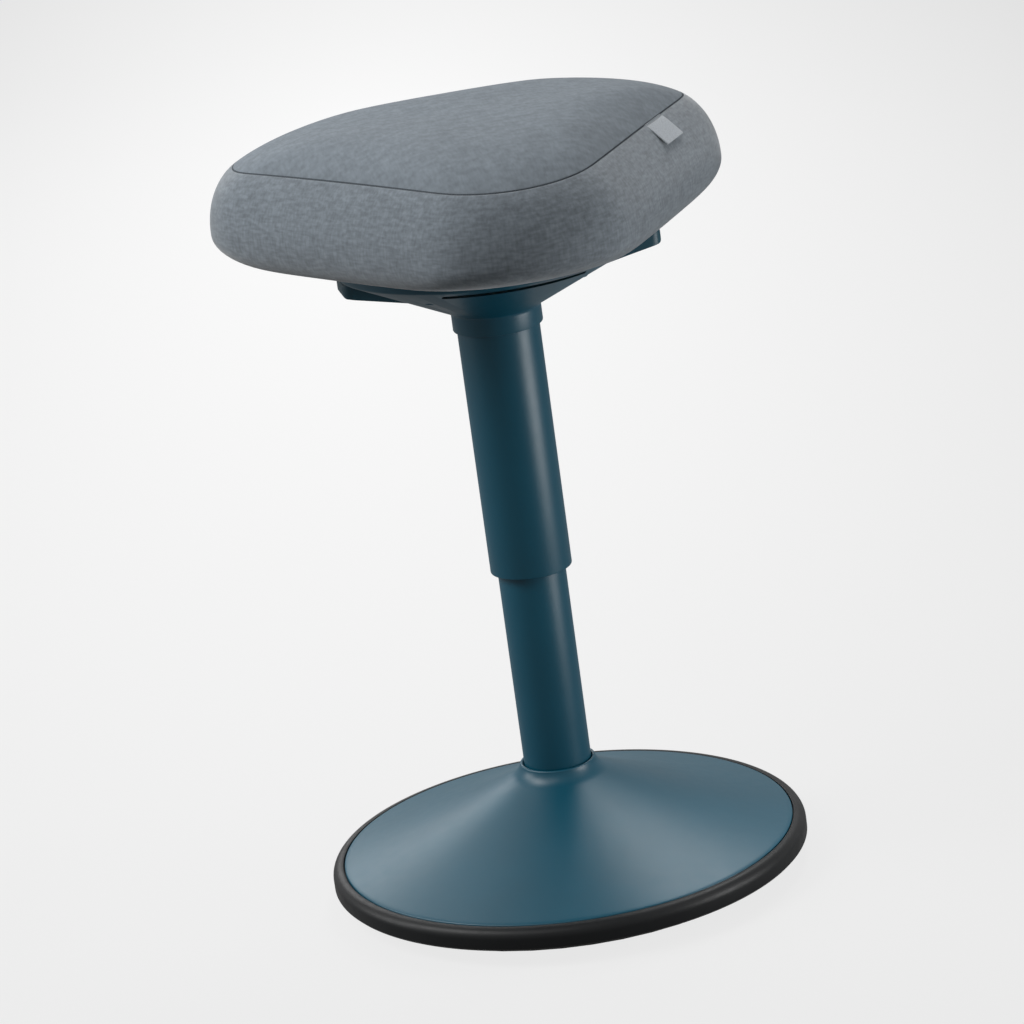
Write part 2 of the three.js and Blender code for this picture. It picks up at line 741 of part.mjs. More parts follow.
// The blade is seen from above as a strip with round outer corners and a narrow finger
function paddlePlan(reach) {
  const half = paddleWidth / 2;
  const plan = new THREE.Shape();
  const neckX = paddlePivot - paddleNeck;
  const cornerX = reach - paddleCornerRadius;
  const cornerY = half - paddleCornerRadius;
  plan.moveTo(0, -fingerWidth / 2);
  plan.lineTo(neckX, -fingerWidth / 2);
  plan.lineTo(neckX, -half);
  plan.lineTo(cornerX, -half);
  plan.absarc(cornerX, -cornerY, paddleCornerRadius, -Math.PI / 2, 0);
  plan.absarc(cornerX, cornerY, paddleCornerRadius, 0, Math.PI / 2);
  plan.lineTo(neckX, half);
  plan.lineTo(neckX, fingerWidth / 2);
  plan.lineTo(0, fingerWidth / 2);
  return plan;
}

function paddle(reach, side) {
  const steps = { bevelEnabled: false, curveSegments: 4 };
  const depth = paddleWidth + 2 * overrun;
  const profile = new THREE.ExtrudeGeometry(paddleShape(reach), { depth, ...steps });
  profile.rotateX(Math.PI / 2).translate(0, paddleWidth / 2 + overrun, 0);
  const plan = new THREE.ExtrudeGeometry(paddlePlan(reach), { depth: headTop - neckTop, ...steps });
  plan.translate(0, 0, neckTop);
  const blade = toSolid(profile).intersect(toSolid(plan)).subtract(toSolid(pinWay(1)));
  const geometry = toGeometry(blade);
  if (side < 0) geometry.rotateZ(Math.PI);
  return geometry;
}
head.add(piece('left_paddle', paddle(leftPaddleReach, -1), lever));
head.add(piece('right_paddle', paddle(rightPaddleReach, 1), lever));

function paddlePin(side) {
  const length = 2 * (earOffset + earThickness / 2 + pinOverhang);
  const pin = new THREE.CylinderGeometry(pinRadius, pinRadius, length, smallFacets);
  return pin.translate(side * paddlePivot, 0, paddlePivotHeight);
}
head.add(piece('left_paddle_pin', paddlePin(-1), steel));
head.add(piece('right_paddle_pin', paddlePin(1), steel));

// Valve: the pin through the cylinder's top and the cap that both fingers press

head.add(piece('valve_pin',
  rod(valvePinRadius, cylinderBoreTop - valvePinDepth, capBottom - seatGap, smallFacets), steel));
head.add(piece('release_cap', turned([
  [0, capBottom],
  [capRadius, capBottom],
  [capRadius, capTop - smallEdge],
  [capRadius - smallEdge, capTop],
  [0, capTop],
], smallFacets), polymer));

// Seat: a rounded triangle, given by how far each ring of it is set in from the widest outline, how far it
// spreads from the axis, and how round it is, from 0, the widest outline's own form, to 1, a circle

const seatCorners = [[0, -noseReach], [heelHalfWidth, heelDepth], [-heelHalfWidth, heelDepth]];

// The middle of the outline's turn in a direction, blended between the three corners
function turnCentre(angle) {
  const direction = [Math.sin(angle), -Math.cos(angle)];
  const size = (noseReach + 2 * Math.hypot(heelHalfWidth, heelDepth)) / 3;
  const reaches = seatCorners.map(([x, y]) => x * direction[0] + y * direction[1]);
  const furthest = Math.max(...reaches);
  const weights = reaches.map((reach) => Math.exp((cornerBlendShare * (reach - furthest)) / size));
  const total = weights.reduce((sum, weight) => sum + weight, 0);
  const pull = (k) => seatCorners.reduce((sum, corner, i) => sum + corner[k] * weights[i], 0);
  const centre = [pull(0) / total, pull(1) / total];
  return { direction, centre, reach: centre[0] * direction[0] + centre[1] * direction[1] };
}

function outlinePoint(angle, { inset, spread = 1, round = 0 }) {
  const { direction, centre } = turnCentre(angle);
  const radius = cornerRadius + round * roundReach - inset;
  return [0, 1].map((k) => spread * ((1 - round) * centre[k] + radius * direction[k]));
}

// The outline's directions, packed closer where its three long sides turn slowly
function outlineAngle(i) {
  const angle = (i * 2 * Math.PI) / outlineFacets;
  return angle + sidePackingShare * Math.sin(3 * angle);
}

const turnReaches = [...Array(outlineFacets).keys()].map((i) => turnCentre(outlineAngle(i)).reach);
const sideReach = Math.min(...turnReaches);
const cornerReach = Math.max(...turnReaches);

// How much lower the seam runs in a direction than over the middle of a side
function seamDroop(angle) {
  return (cornerDroop * (turnCentre(angle).reach - sideReach)) / (cornerReach - sideReach);
}

// The angle through which the side band turns before it meets the top panel without a crease
function seamTurn(angle) {
  const { reach } = turnCentre(angle);
  const run = (1 + crownRoundShare) * reach + cornerRadius - seamInset - crownRoundShare * roundReach;
  const rise = seamRise - bulgeRise - seamDroop(angle);
  const steepness = (crownRise * crownFullnessShare * seamInset) / (run * rise);
  return Math.acos(steepness / (1 - steepness));
}

// Lofts closed rings, each a rule for { inset, z, spread, round } in a direction; at spread 0 it is on the axis
function lofted(rings) {
  const positions = [];
  const indices = [];
  rings.forEach((ring) => {
    for (let i = 0; i < outlineFacets; i += 1) {
      const place = ring(outlineAngle(i));
      positions.push(...outlinePoint(outlineAngle(i), place), place.z);
    }
  });
  const onAxis = rings[0](0).spread === 0;
  const spans = onAxis ? rings.length - 1 : rings.length;
  for (let ring = 0; ring < spans; ring += 1) {
    const next = (ring + 1) % rings.length;
    for (let i = 0; i < outlineFacets; i += 1) {
      const j = (i + 1) % outlineFacets;
      const [a, b] = [ring * outlineFacets + i, ring * outlineFacets + j];
      const [c, d] = [next * outlineFacets + i, next * outlineFacets + j];
      indices.push(a, b, d, a, d, c);
    }
  }
  const geometry = new THREE.BufferGeometry();
  geometry.setAttribute('position', new THREE.Float32BufferAttribute(positions, 3));
  geometry.setIndex(indices);
  return closed(geometry);
}

const seamZ = padLowerEdge + seamRise;
const bulgeZ = padLowerEdge + bulgeRise;

// The side band's outer face from the hem under the pan to the seam, set in by depth
function sideRings(depth) {
  const lowSteps = 3;
  const highSteps = 4;
  const rings = [];
  for (let i = 0; i <= lowSteps; i += 1) {
    const turn = (i / lowSteps) * (Math.PI / 2);
    rings.push(() => ({
      inset: depth + (lowerTuck - depth / 2) * (1 - Math.sin(turn)),
      z: bulgeZ - (bulgeRise - depth) * Math.cos(turn),
      round: lowerRoundShare * (1 - Math.sin(turn)),
    }));
  }
  for (let i = 1; i <= highSteps; i += 1) {
    rings.push((angle) => {
      const end = seamTurn(angle);
      const turn = (i / highSteps) * end;
      const rise = seamRise - bulgeRise - seamDroop(angle);
      return {
        inset: depth + (seamInset * (1 - Math.cos(turn))) / (1 - Math.cos(end)),
        z: bulgeZ + (rise * Math.sin(turn)) / Math.sin(end) - depth / 2,
      };
    });
  }
  return rings;
}

// The top panel's outer face from the seam to the crown, lowered by depth
function crownRings(depth, startInset) {
  return crownSpreadShares.map((spread) => (angle) => ({
    inset: startInset,
    z: seamZ - depth + crownRise * (1 - spread ** crownFullnessShare) - spread * seamDroop(angle),
    spread,
    round: crownRoundShare * (1 - spread),
  }));
}

const band = [
  () => ({ inset: lowerTuck + coverHem, z: padLowerEdge, round: lowerRoundShare }),
  ...sideRings(0),
  ...sideRings(coverThickness).reverse(),
  () => ({ inset: lowerTuck + coverHem, z: padLowerEdge + coverThickness, round: lowerRoundShare }),
];
seat.add(piece('cover_side_band', lofted(band), cloth));

const panelInset = seamInset + coverThickness + seatGap;
const panel = [
  ...crownRings(coverThickness, panelInset).reverse(),
  ...crownRings(0, panelInset),
];
seat.add(piece('cover_top_panel', lofted(panel), cloth));

const foamDepth = coverThickness + seatGap;
const foamSide = sideRings(foamDepth).slice(2, -1);
const foamRings = [
  () => ({ inset: seamInset, z: panTop + seatGap, spread: 0 }),
  () => ({ inset: panInset + seatGap, z: panTop + seatGap, round: panRoundShare }),
  ...foamSide,
  ...crownRings(foamDepth + seatGap, panelInset),
];
seat.add(piece('seat_foam', lofted(foamRings), foam));

const panRings = [
  () => ({ inset: panInset, z: panBottom, spread: 0 }),
  () => ({ inset: panInset, z: panBottom, round: panRoundShare }),
  () => ({ inset: panInset, z: panTop, round: panRoundShare }),
  () => ({ inset: panInset, z: panTop, spread: 0 }),
];
const panHoles = seatScrewPlaces.map(([x, y]) => (
  rod(nutRadius + seatGap, panBottom - overrun, panTop + overrun, screwFacets).translate(x, y, 0)));
const panSinks = seatScrewPlaces.map(([x, y]) => (
  rod(nutFlangeRadius + seatGap, panTop - nutFlange - seatGap, panTop + overrun, screwFacets)
    .translate(x, y, 0)));
seat.add(piece('seat_pan', cut(lofted(panRings), [...panHoles, ...panSinks]), ply));

// Screws from below through the mounting plate into the pan's T-nuts
const seatScrewHead = mountPlateBottom - seatGap - screwHeadThickness;
addScrews(seat, 'seat_screw', seatScrewPlaces, seatScrewHead, panTop - seatScrewHead - seatGap, 1);
seatScrewPlaces.forEach(([x, y], i) => {
  const nut = piece(`t_nut_${i + 1}`, turned([
    [screwRadius + slideGap, panBottom + nutSetback],
    [nutRadius, panBottom + nutSetback],
    [nutRadius, panTop - nutFlange],
    [nutFlangeRadius, panTop - nutFlange],
    [nutFlangeRadius, panTop],
    [screwRadius + slideGap, panTop],
  ], screwFacets), steel);
  nut.position.set(x, y, 0);
  seat.add(nut);
});

// The tag leaves the seam part of the way from the front corner to the right one, and lies on the side band
function seamTag() {
  const [second, first, seamRing] = sideRings(0).slice(-3);
  const facePoint = (ring, angle) => new THREE.Vector3(...outlinePoint(angle, ring(angle)), ring(angle).z);
  const angles = [...Array(outlineFacets).keys()].map(outlineAngle);
  const seam = angles.map((angle) => facePoint(seamRing, angle));
  const placeX = tagPlaceShare * Math.max(...seam.map(({ x }) => x));
  const index = seam.findIndex(({ x }) => x >= placeX);
  const [before, after] = [seam[index - 1], seam[index]];
  const step = (placeX - before.x) / (after.x - before.x);
  const origin = before.clone().lerp(after, step);
  const faces = [first, second].map((ring) => (
    facePoint(ring, angles[index - 1]).lerp(facePoint(ring, angles[index]), step).sub(origin)));
  const along = after.clone().sub(before).normalize();
  const out = new THREE.Vector3().crossVectors(faces[1], along).normalize();
  const down = new THREE.Vector3().crossVectors(along, out);
  const [fold, lowest] = faces.map((place) => new THREE.Vector2(place.dot(down), place.dot(out)));
  const start = fold.clone().multiplyScalar(tagSeamGap / fold.x);
  const end = fold.clone().lerp(lowest, (tagSeamGap + tagLength - fold.x) / (lowest.x - fold.x));
  const inner = [start, fold, end];
  const shape = new THREE.Shape([
    ...inner.map(({ x, y }) => new THREE.Vector2(x, y + tagStandOff)),
    ...inner.map(({ x, y }) => new THREE.Vector2(x, y + tagStandOff + tagThickness)).reverse(),
  ]);
  const strip = new THREE.ExtrudeGeometry(shape, { depth: tagWidth, bevelEnabled: false });
  const tag = piece('seam_tag', strip, label);
  tag.quaternion.setFromRotationMatrix(new THREE.Matrix4().makeBasis(down, out, along.clone().negate()));
  tag.position.copy(origin).addScaledVector(along, tagWidth / 2);
  return tag;
}
seat.add(seamTag());

export default stool;
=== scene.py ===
"""Perch stool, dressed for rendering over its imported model.

Lengths are written in millimetres, as in the part's source, and mm() turns them into metres.
The seat's single corner points along -Y, and the column's axis is +Z.
"""

import json
import math

import bmesh
import bpy
from mathutils import Matrix, Vector


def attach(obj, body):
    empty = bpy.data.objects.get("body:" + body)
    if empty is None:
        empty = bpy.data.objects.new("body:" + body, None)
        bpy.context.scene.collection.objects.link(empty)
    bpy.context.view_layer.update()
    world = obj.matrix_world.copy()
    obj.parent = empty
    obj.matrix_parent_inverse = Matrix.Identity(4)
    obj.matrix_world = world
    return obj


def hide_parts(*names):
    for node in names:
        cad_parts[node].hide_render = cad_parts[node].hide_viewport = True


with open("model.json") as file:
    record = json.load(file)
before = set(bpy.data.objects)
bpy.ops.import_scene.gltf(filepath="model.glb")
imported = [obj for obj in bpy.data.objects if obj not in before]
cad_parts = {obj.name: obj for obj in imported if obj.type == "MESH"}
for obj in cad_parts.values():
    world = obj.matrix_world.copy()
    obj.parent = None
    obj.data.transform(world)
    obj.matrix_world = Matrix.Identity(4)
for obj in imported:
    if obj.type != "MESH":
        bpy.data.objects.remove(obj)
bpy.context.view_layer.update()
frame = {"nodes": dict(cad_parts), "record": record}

MM_PER_METRE = 1000


def mm(length):
    return length / MM_PER_METRE


# Sizes that follow the photograph more closely than the part's source does, in millimetres: the dome's collar
# with its bead and fillet, and the head's front slot
COLLAR_HEIGHT = 61.2
DOME_SHOULDER_STEP = 11.5
DOME_SHOULDER_DROP = 10.7
BEAD_RADIUS = 1.3
FILLET_SETBACK = 1.9
SLOT_HALF_WIDTH = 52
SLOT_HEIGHT = 3.6

# Sizes repeated from the part's source, in millimetres
SEAT_GAP = 0.3
SLIDE_GAP = 0.08
OVERRUN = 5

RIM_HEIGHT = 30
NECK_LOWER_EDGE = 426
NECK_HEIGHT = 14
PAD_STAND_OFF = 3.69
LIFT_TRAVEL = 130

RIM_RADIUS = 168
RIM_GROOVE = 0.9
RING_WIDTH = 9.5
RING_SHOULDER = 7.5
RING_FOOT_HEIGHT = 13.5
RING_FOOT_EDGE = 2
RING_WALL = 5.5
DOME_WALL = 2.5
DOME_CONTROL_SHARE = 0.42
DOME_CONTROL_RISE = 21.5
SOLE_SETBACK = 2
SOLE_THICKNESS = 12.5
BASE_PLATE_THICKNESS = 3

TUBE_RADIUS = 25
TUBE_WALL = 2
TUBE_FLOOR = 4
TUBE_FLOOR_HOLE = 8
STOP_CLEARANCE = 4
HUB_WALL = 4
HUB_TOP = 84
BUSH_FLANGE = 3
SLEEVE_LAP = 38.5
SLEEVE_STEP = 5
SLEEVE_WALL = 1.5

NECK_STEP = 2.7
NECK_WALL = 2.2
HEAD_RADIUS = 112
HEAD_RIM_HEIGHT = 9
HEAD_SLOPE_SHARE = 0.512
HEAD_WALL = 3
HEAD_WEB = 4
HEAD_POST_SETBACK = 16
HEAD_POST_RADIUS = 7
MOUNT_PLATE_SETBACK = 22
MOUNT_PLATE_THICKNESS = 4
SOCKET_DEPTH = 23
SOCKET_RISE = 18
SOCKET_LIP = 6
SOCKET_WALL = 8
BUSH_THICKNESS = 9
TAPER_LENGTH = 34
TAPER_NARROWING = 0.8
SLOT_SETBACK = 11
CAP_THICKNESS = 3

PADDLE_WIDTH = 34
PADDLE_PIVOT = 37
PADDLE_PIVOT_RISE = 1.4
LEFT_TIP_SETBACK = 2
RIGHT_TIP_REACH = 12.5
PADDLE_TIP_RISE = 4.5
PADDLE_TIP_HEIGHT = 11
PADDLE_TIP_RADIUS = 4
PADDLE_ROOT_DROP = 9.5
PADDLE_ROOT_OFFSET = 12
PADDLE_BELLY_OFFSET = 20
PADDLE_BELLY_RISE = 5
PADDLE_HUB_RADIUS = 7
PADDLE_NECK = 10
PADDLE_CORNER_RADIUS = 8
FINGER_WIDTH = 12
FINGER_REACH = 1.6
FINGER_THICKNESS = 5
PIN_RADIUS = 3

NOSE_REACH = 91.6
HEEL_DEPTH = 53.3
HEEL_HALF_WIDTH = 92.8
CORNER_RADIUS = 95.5
CORNER_BLEND_SHARE = 10.5
ROUND_REACH = 83.7
LOWER_ROUND_SHARE = 0.45
CROWN_ROUND_SHARE = 0.61
SEAM_INSET = 22.8
SEAM_RISE = 68.8
BULGE_RISE = 19.4
LOWER_TUCK = 30.4
CROWN_RISE = 20.8
CROWN_FULLNESS_SHARE = 5
CORNER_DROOP = 4.7
COVER_THICKNESS = 1.5
COVER_HEM = 24
TAG_WIDTH = 34
TAG_LENGTH = 19
TAG_THICKNESS = 0.9
TAG_PLACE_SHARE = 0.73
TAG_SEAM_GAP = 2

# Derived sizes
SLEEVE_RADIUS = TUBE_RADIUS + SLEEVE_STEP
NECK_RADIUS = SLEEVE_RADIUS + NECK_STEP
RING_RADIUS = RIM_RADIUS + RING_WIDTH
SOLE_RADIUS = RIM_RADIUS - SOLE_SETBACK
DOME_SHOULDER_RADIUS = TUBE_RADIUS + DOME_SHOULDER_STEP
BEAD_TOP = RIM_HEIGHT + COLLAR_HEIGHT
NECK_TOP = NECK_LOWER_EDGE + NECK_HEIGHT
SOCKET_TOP = NECK_TOP + SOCKET_RISE
SOCKET_BOTTOM = NECK_TOP - SOCKET_DEPTH
TUBE_TOP = SOCKET_BOTTOM - LIFT_TRAVEL - BUSH_FLANGE - STOP_CLEARANCE
TUBE_BOTTOM = SOLE_THICKNESS + BASE_PLATE_THICKNESS + 2 * SEAT_GAP
SLEEVE_LOWER_EDGE = TUBE_TOP - SLEEVE_LAP
HEAD_RIM_BOTTOM = NECK_TOP + (HEAD_RADIUS - NECK_RADIUS) * HEAD_SLOPE_SHARE
HEAD_TOP = HEAD_RIM_BOTTOM + HEAD_RIM_HEIGHT
PAD_LOWER_EDGE = HEAD_TOP + PAD_STAND_OFF
BULGE_Z = PAD_LOWER_EDGE + BULGE_RISE
SEAM_Z = PAD_LOWER_EDGE + SEAM_RISE
CAP_TOP = SOCKET_TOP + SEAT_GAP + CAP_THICKNESS
PADDLE_PIVOT_HEIGHT = CAP_TOP + SEAT_GAP + PADDLE_PIVOT_RISE
MOUNT_PLATE_BOTTOM = PAD_LOWER_EDGE + COVER_THICKNESS - MOUNT_PLATE_THICKNESS
HEAD_POST_CIRCLE = HEAD_RADIUS - MOUNT_PLATE_SETBACK - HEAD_POST_SETBACK
CYLINDER_RADIUS = TUBE_RADIUS - TUBE_WALL - BUSH_THICKNESS
CYLINDER_TOP = SOCKET_TOP - SOCKET_LIP
SOCKET_RADIUS = CYLINDER_RADIUS + SOCKET_WALL
SOCKET_BORE = CYLINDER_RADIUS + SEAT_GAP

# Fineness of the meshes: steps round a whole turn, an arc or a curve
TURN_STEPS = 192
HEAD_STEPS = 144
ROD_STEPS = 24
ARC_STEPS = 8
ROUND_STEPS = 4
SHOULDER_STEPS = 12
BEAD_STEPS = 12
FILLET_STEPS = 12
FLANK_STEPS = 48
UNDERSIDE_STEPS = 24
BELLY_STEPS = 16
SLOT_END_STEPS = 10

# Shading and edges: a crease shows above these angles, in degrees; widths are in millimetres
SHARP_ANGLE = 35
HEAD_SHARP_ANGLE = 32
BEVEL_SHARP_ANGLE = 40
WELD_DISTANCE = 0.01
PADDLE_BEVEL = 1.3
TAG_BEVEL = 0.25

# Rounds of turned profiles: how far they reach along each side, the least turn that gets one, in degrees, and
# how many of them fit on a side
RING_ROUND = 0.5
TUBE_ROUND = 0.9
SLEEVE_ROUND = 0.7
ROUNDED_TURN = 40
SIDE_PER_ROUND = 2.2

# Rounds written as (r, z) steps from the corner that they replace
DOME_RIM_ROUND = ((-0.7, 0.15), (-0.2, -0.2), (0, -0.7))
NECK_LOWER_ROUND = ((-0.7, 0), (-0.2, 0.2), (0, 0.7))
HEAD_RIM_LOWER_ROUND = ((-0.4, 0.2), (0, 1.2))
HEAD_RIM_UPPER_ROUND = ((0, -1), (-0.3, -0.3), (-1, 0))

# Hollow between neck and cone, and the cone's end before its rim, as steps in radius and height
NECK_HOLLOW_START = 0.15
NECK_HOLLOW_MIDDLE = 0.6
NECK_HOLLOW_DROP = 0.3
NECK_HOLLOW_END = 1.6
CONE_END_SETBACK = 1.4

# Cushion mesh: points of each ring, numbers of rings, the hem's fold, and how the rings and points are packed
OUTLINE_STEPS = 240
HEM_RINGS = 6
HEM_FOLD = 0.5
HELD_RINGS = HEM_RINGS + 4
LOW_RINGS = 14
HIGH_RINGS = 26
CROWN_RINGS = 40
CROWN_PACKING_POWER = 1.5
SIDE_PACKING_SHARE = 0.25

# Cushion finish: how far the cloth may swell, in millimetres, its steps, smoothings and cloth settings, the
# places of the rings beside the seam, the width kept free of others, and how deep the seam's rings sink in
SWELL_CAP = 1.0
SWELL_STEPS = 20
SWELL_SMOOTHINGS = 12
CLOTH_SETTINGS = {
    "quality": 5,
    "mass": 0.3,
    "tension_stiffness": 40,
    "compression_stiffness": 40,
    "shear_stiffness": 20,
    "bending_stiffness": 2,
    "use_pressure": True,
    "uniform_pressure_force": 4,
}
SEAM_REACHES = (0.6, 1.3, 2.4)
SEAM_ZONE = 3.2
SEAM_DEPTHS = {-1: 0.12, 0: 1.0, 1: 0.12}

# Tag: the search for its place on the seam, its mesh, and how it lifts off the band, flares and curls
TAG_SEARCH_STEPS = 400
TAG_ROWS = 24
TAG_COLUMNS = 12
TAG_REACH_SHARE = 0.6
TAG_LIFT = 1.0
TAG_FOLD_SHARE = 0.3
TAG_FLARE = 2.2
TAG_CURL = 0.4

# Camera: angles in degrees, distance and target in millimetres
CAMERA_AZIMUTH = 9.72
CAMERA_ELEVATION = 17.16
CAMERA_ROLL = 7.86
CAMERA_DISTANCE = 3200
CAMERA_TARGET = (-8.4, 1.4, 284.8)
CAMERA_SENSOR = 36
CAMERA_LENS = 154.48

# World: its light on the object, the tone seen behind it, and how much of that tone gloss mirrors
WORLD_STRENGTH = 0.1
BACKGROUND_LEVEL = 0.9
WORLD_GLOSSY_SHARE = 0.45

# Floor, in metres: its grey for the light that it returns and as it is seen, and its glow where it is seen
FLOOR_HALF_SIZE = 14
FLOOR_ROUGHNESS = 0.9
FLOOR_BOUNCE = 0.1
FLOOR_TONE = 0.35
FLOOR_GLOSSY_SHARE = 0.2
FLOOR_GLOW_SHARE = 0.8
FLOOR_GLOW_CENTRE = (0.32, 2.54)
FLOOR_GLOW_REACH = (0.93, 3.5)
FLOOR_GLOW_LEVELS = (1.18, 0.92)

# Soft boxes: name, azimuth from the camera and elevation in degrees, distance, width and height in metres,
# radiance
LIGHT_AIM = (0, 0, 0.3)
LIGHTS = (
    ("key_box", -80, 45, 2.6, 1.2, 1.2, 7.5),
    ("left_box", -100, 18, 2.4, 1.0, 1.0, 4.7),
    ("front_box", -30, 50, 2.4, 1.0, 1.0, 1.7),
    ("back_left_box", -160, 22, 3.0, 1.1, 1.0, 3.0),
    ("back_left_high_box", -155, 52, 2.8, 1.0, 1.0, 0.9),
    ("back_right_box", 158, 42, 2.8, 0.6, 0.6, 6.9),
    ("back_right_high_box", 155, 60, 2.6, 0.7, 0.7, 10),
    ("right_strip", 72, 17, 0.95, 0.4, 1.0, 1.1),
    ("right_low_strip", 68, -6, 0.85, 0.4, 0.38, 5.9),
)


def add_camera():
    """Stands where the photograph was taken: a little to the left of the front, looking down, and rolled."""
    azimuth = math.radians(CAMERA_AZIMUTH)
    elevation = math.radians(CAMERA_ELEVATION)
    roll = math.radians(CAMERA_ROLL)
    target = Vector([mm(value) for value in CAMERA_TARGET])
    back = Vector((
        -math.sin(azimuth) * math.cos(elevation),
        -math.cos(azimuth) * math.cos(elevation),
        math.sin(elevation),
    ))
    level = Vector((math.cos(azimuth), -math.sin(azimuth), 0))
    upward = back.cross(level)
    right = math.cos(roll) * level - math.sin(roll) * upward
    up = math.sin(roll) * level + math.cos(roll) * upward
    data = bpy.data.cameras.new("camera")
    data.sensor_width = CAMERA_SENSOR
    data.lens = CAMERA_LENS
    camera = bpy.data.objects.new("camera", data)
    bpy.context.scene.collection.objects.link(camera)
    place = Matrix((right, up, back)).transposed().to_4x4()
    place.translation = target + mm(CAMERA_DISTANCE) * back
    camera.matrix_world = place
    bpy.context.scene.camera = camera


def new_object(name, mesh):
    obj = bpy.data.objects.new(name, mesh)
    bpy.context.scene.collection.objects.link(obj)
    return obj


def mesh_from(name, points, faces):
    """A mesh from points in millimetres."""
    mesh = bpy.data.meshes.new(name)
    mesh.from_pydata([tuple(mm(value) for value in point) for point in points], [], faces)
    mesh.validate()
    mesh.update()
    return mesh


def outward(mesh):
    """Turns the faces of a closed mesh outward."""
    work = bmesh.new()
    work.from_mesh(mesh)
    bmesh.ops.recalc_face_normals(work, faces=work.faces)
    work.to_mesh(mesh)
    work.free()


def smooth(mesh, sharp_angle=SHARP_ANGLE):
    mesh.shade_smooth()
    mesh.set_sharp_from_angle(angle=math.radians(sharp_angle))


def steps_to(end, count):
    return [end * i / count for i in range(count + 1)]


def curve(start, control, end, places):
    """The points of a quadratic curve at places from 0 to 1."""
    return [
        tuple((1 - t) ** 2 * a + 2 * t * (1 - t) * b + t ** 2 * c for a, b, c in zip(start, control, end))
        for t in places
    ]


def softened(points, reach):
    """Replaces the sharp corners of a closed profile of (r, z) points by short rounds."""
    result = []
    count = len(points)
    for i, point in enumerate(points):
        corner = Vector(point)
        before = Vector(points[i - 1]) - corner
        after = Vector(points[(i + 1) % count]) - corner
        turn = math.pi - before.angle(after)
        room = min(reach, before.length / SIDE_PER_ROUND, after.length / SIDE_PER_ROUND)
        if turn < math.radians(ROUNDED_TURN):
            result.append(tuple(corner))
            continue
        start = corner + before.normalized() * room
        end = corner + after.normalized() * room
        result += curve(start, corner, end, steps_to(1, ROUND_STEPS))
    return result


def rounded(corner, moves):
    """The points of a round written as steps from a corner."""
    return [(corner[0] + r, corner[1] + z) for r, z in moves]


def turned(name, profile, steps=TURN_STEPS):
    """Revolves a closed profile of (r, z) points, off the axis, about Z."""
    count = len(profile)
    points = []
    for i in range(steps):
        angle = 2 * math.pi * i / steps
        points += [(r * math.cos(angle), r * math.sin(angle), z) for r, z in profile]
    faces = []
    for i in range(steps):
        here, there = i * count, ((i + 1) % steps) * count
        for k in range(count):
            following = (k + 1) % count
            faces.append((here + k, there + k, there + following, here + following))
    mesh = mesh_from(name, points, faces)
    outward(mesh)
    smooth(mesh)
    return mesh


def arc(centre_r, centre_z, radius, start, end, steps):
    angles = [start + (end - start) * i / steps for i in range(steps + 1)]
    return [(centre_r + radius * math.cos(a), centre_z + radius * math.sin(a)) for a in angles]


def extruded(name, outline, start, end, place):
    """A prism: a closed outline of (a, b) points between two depths, placed by place(a, b, depth)."""
    count = len(outline)
    points = [place(a, b, start) for a, b in outline] + [place(a, b, end) for a, b in outline]
    faces = [tuple(range(count)), tuple(range(2 * count - 1, count - 1, -1))]
    faces += [(i, (i + 1) % count, count + (i + 1) % count, count + i) for i in range(count)]
    mesh = mesh_from(name, points, faces)
    outward(mesh)
    return mesh


def applied(obj):
    """Replaces an object's mesh by its modified form, without the modifiers."""
    graph = bpy.context.evaluated_depsgraph_get()
    mesh = bpy.data.meshes.new_from_object(obj.evaluated_get(graph))
    obj.modifiers.clear()
    old = obj.data
    obj.data = mesh
    bpy.data.meshes.remove(old)
    return obj


def combined(obj, tool_meshes, operation):
    """Cuts or intersects an object with closed tool meshes."""
    tools = [new_object("tool", mesh) for mesh in tool_meshes]
    for tool in tools:
        change = obj.modifiers.new("combine", "BOOLEAN")
        change.operation = operation
        change.solver = "EXACT"
        change.object = tool
    applied(obj)
    for tool in tools:
        bpy.data.meshes.remove(tool.data)
    return obj


def bevelled(obj, width, segments=3):
    bevel = obj.modifiers.new("bevel", "BEVEL")
    bevel.width = mm(width)
    bevel.segments = segments
    bevel.limit_method = "ANGLE"
    bevel.angle_limit = math.radians(SHARP_ANGLE)
    applied(obj)
    smooth(obj.data, BEVEL_SHARP_ANGLE)
    return obj


# Materials. Sizes of noise and depths of bumps are in millimetres, and colours are linear RGB.

SLATE = (0.200, 0.232, 0.262)
NOISE_SPAN = (0.3, 0.7)
WIDE_NOISE_SPAN = (0.25, 0.75)
STREAK_SPAN = (0.32, 0.68)
GRAIN_SPAN = (0.35, 0.65)
TONE_PATCH = (60, 60, 60)
GLOSS_PATCH = (9, 9, 9)
CLOUD_PATCH = (35, 35, 35)
CLOUD_TONES = (0.97, 1.03)
METAL_GRAIN = (0.4, 0.4, 6)
METAL_BUMP = 0.01
METAL_TONES = (0.85, 1.1)
METAL_ROUGHNESS_STEPS = (-0.06, 0.08)
CLOTH_ROUGHNESS = 0.9
CLOTH_SPECULAR = 0.15
CLOTH_SHEEN_ROUGHNESS = 0.45
THREAD_CONTRAST_SHARE = 0.8
WOOD_ROUGHNESS = 0.6
WOOD_GRAIN = (2.5, 60, 1.4)
WOOD_GRAIN_DETAIL = 5
WOOD_GRAIN_ROUGHNESS = 0.65
WOOD_BUMP = 0.08
WOOD_TONES = (0.72, 1.12)


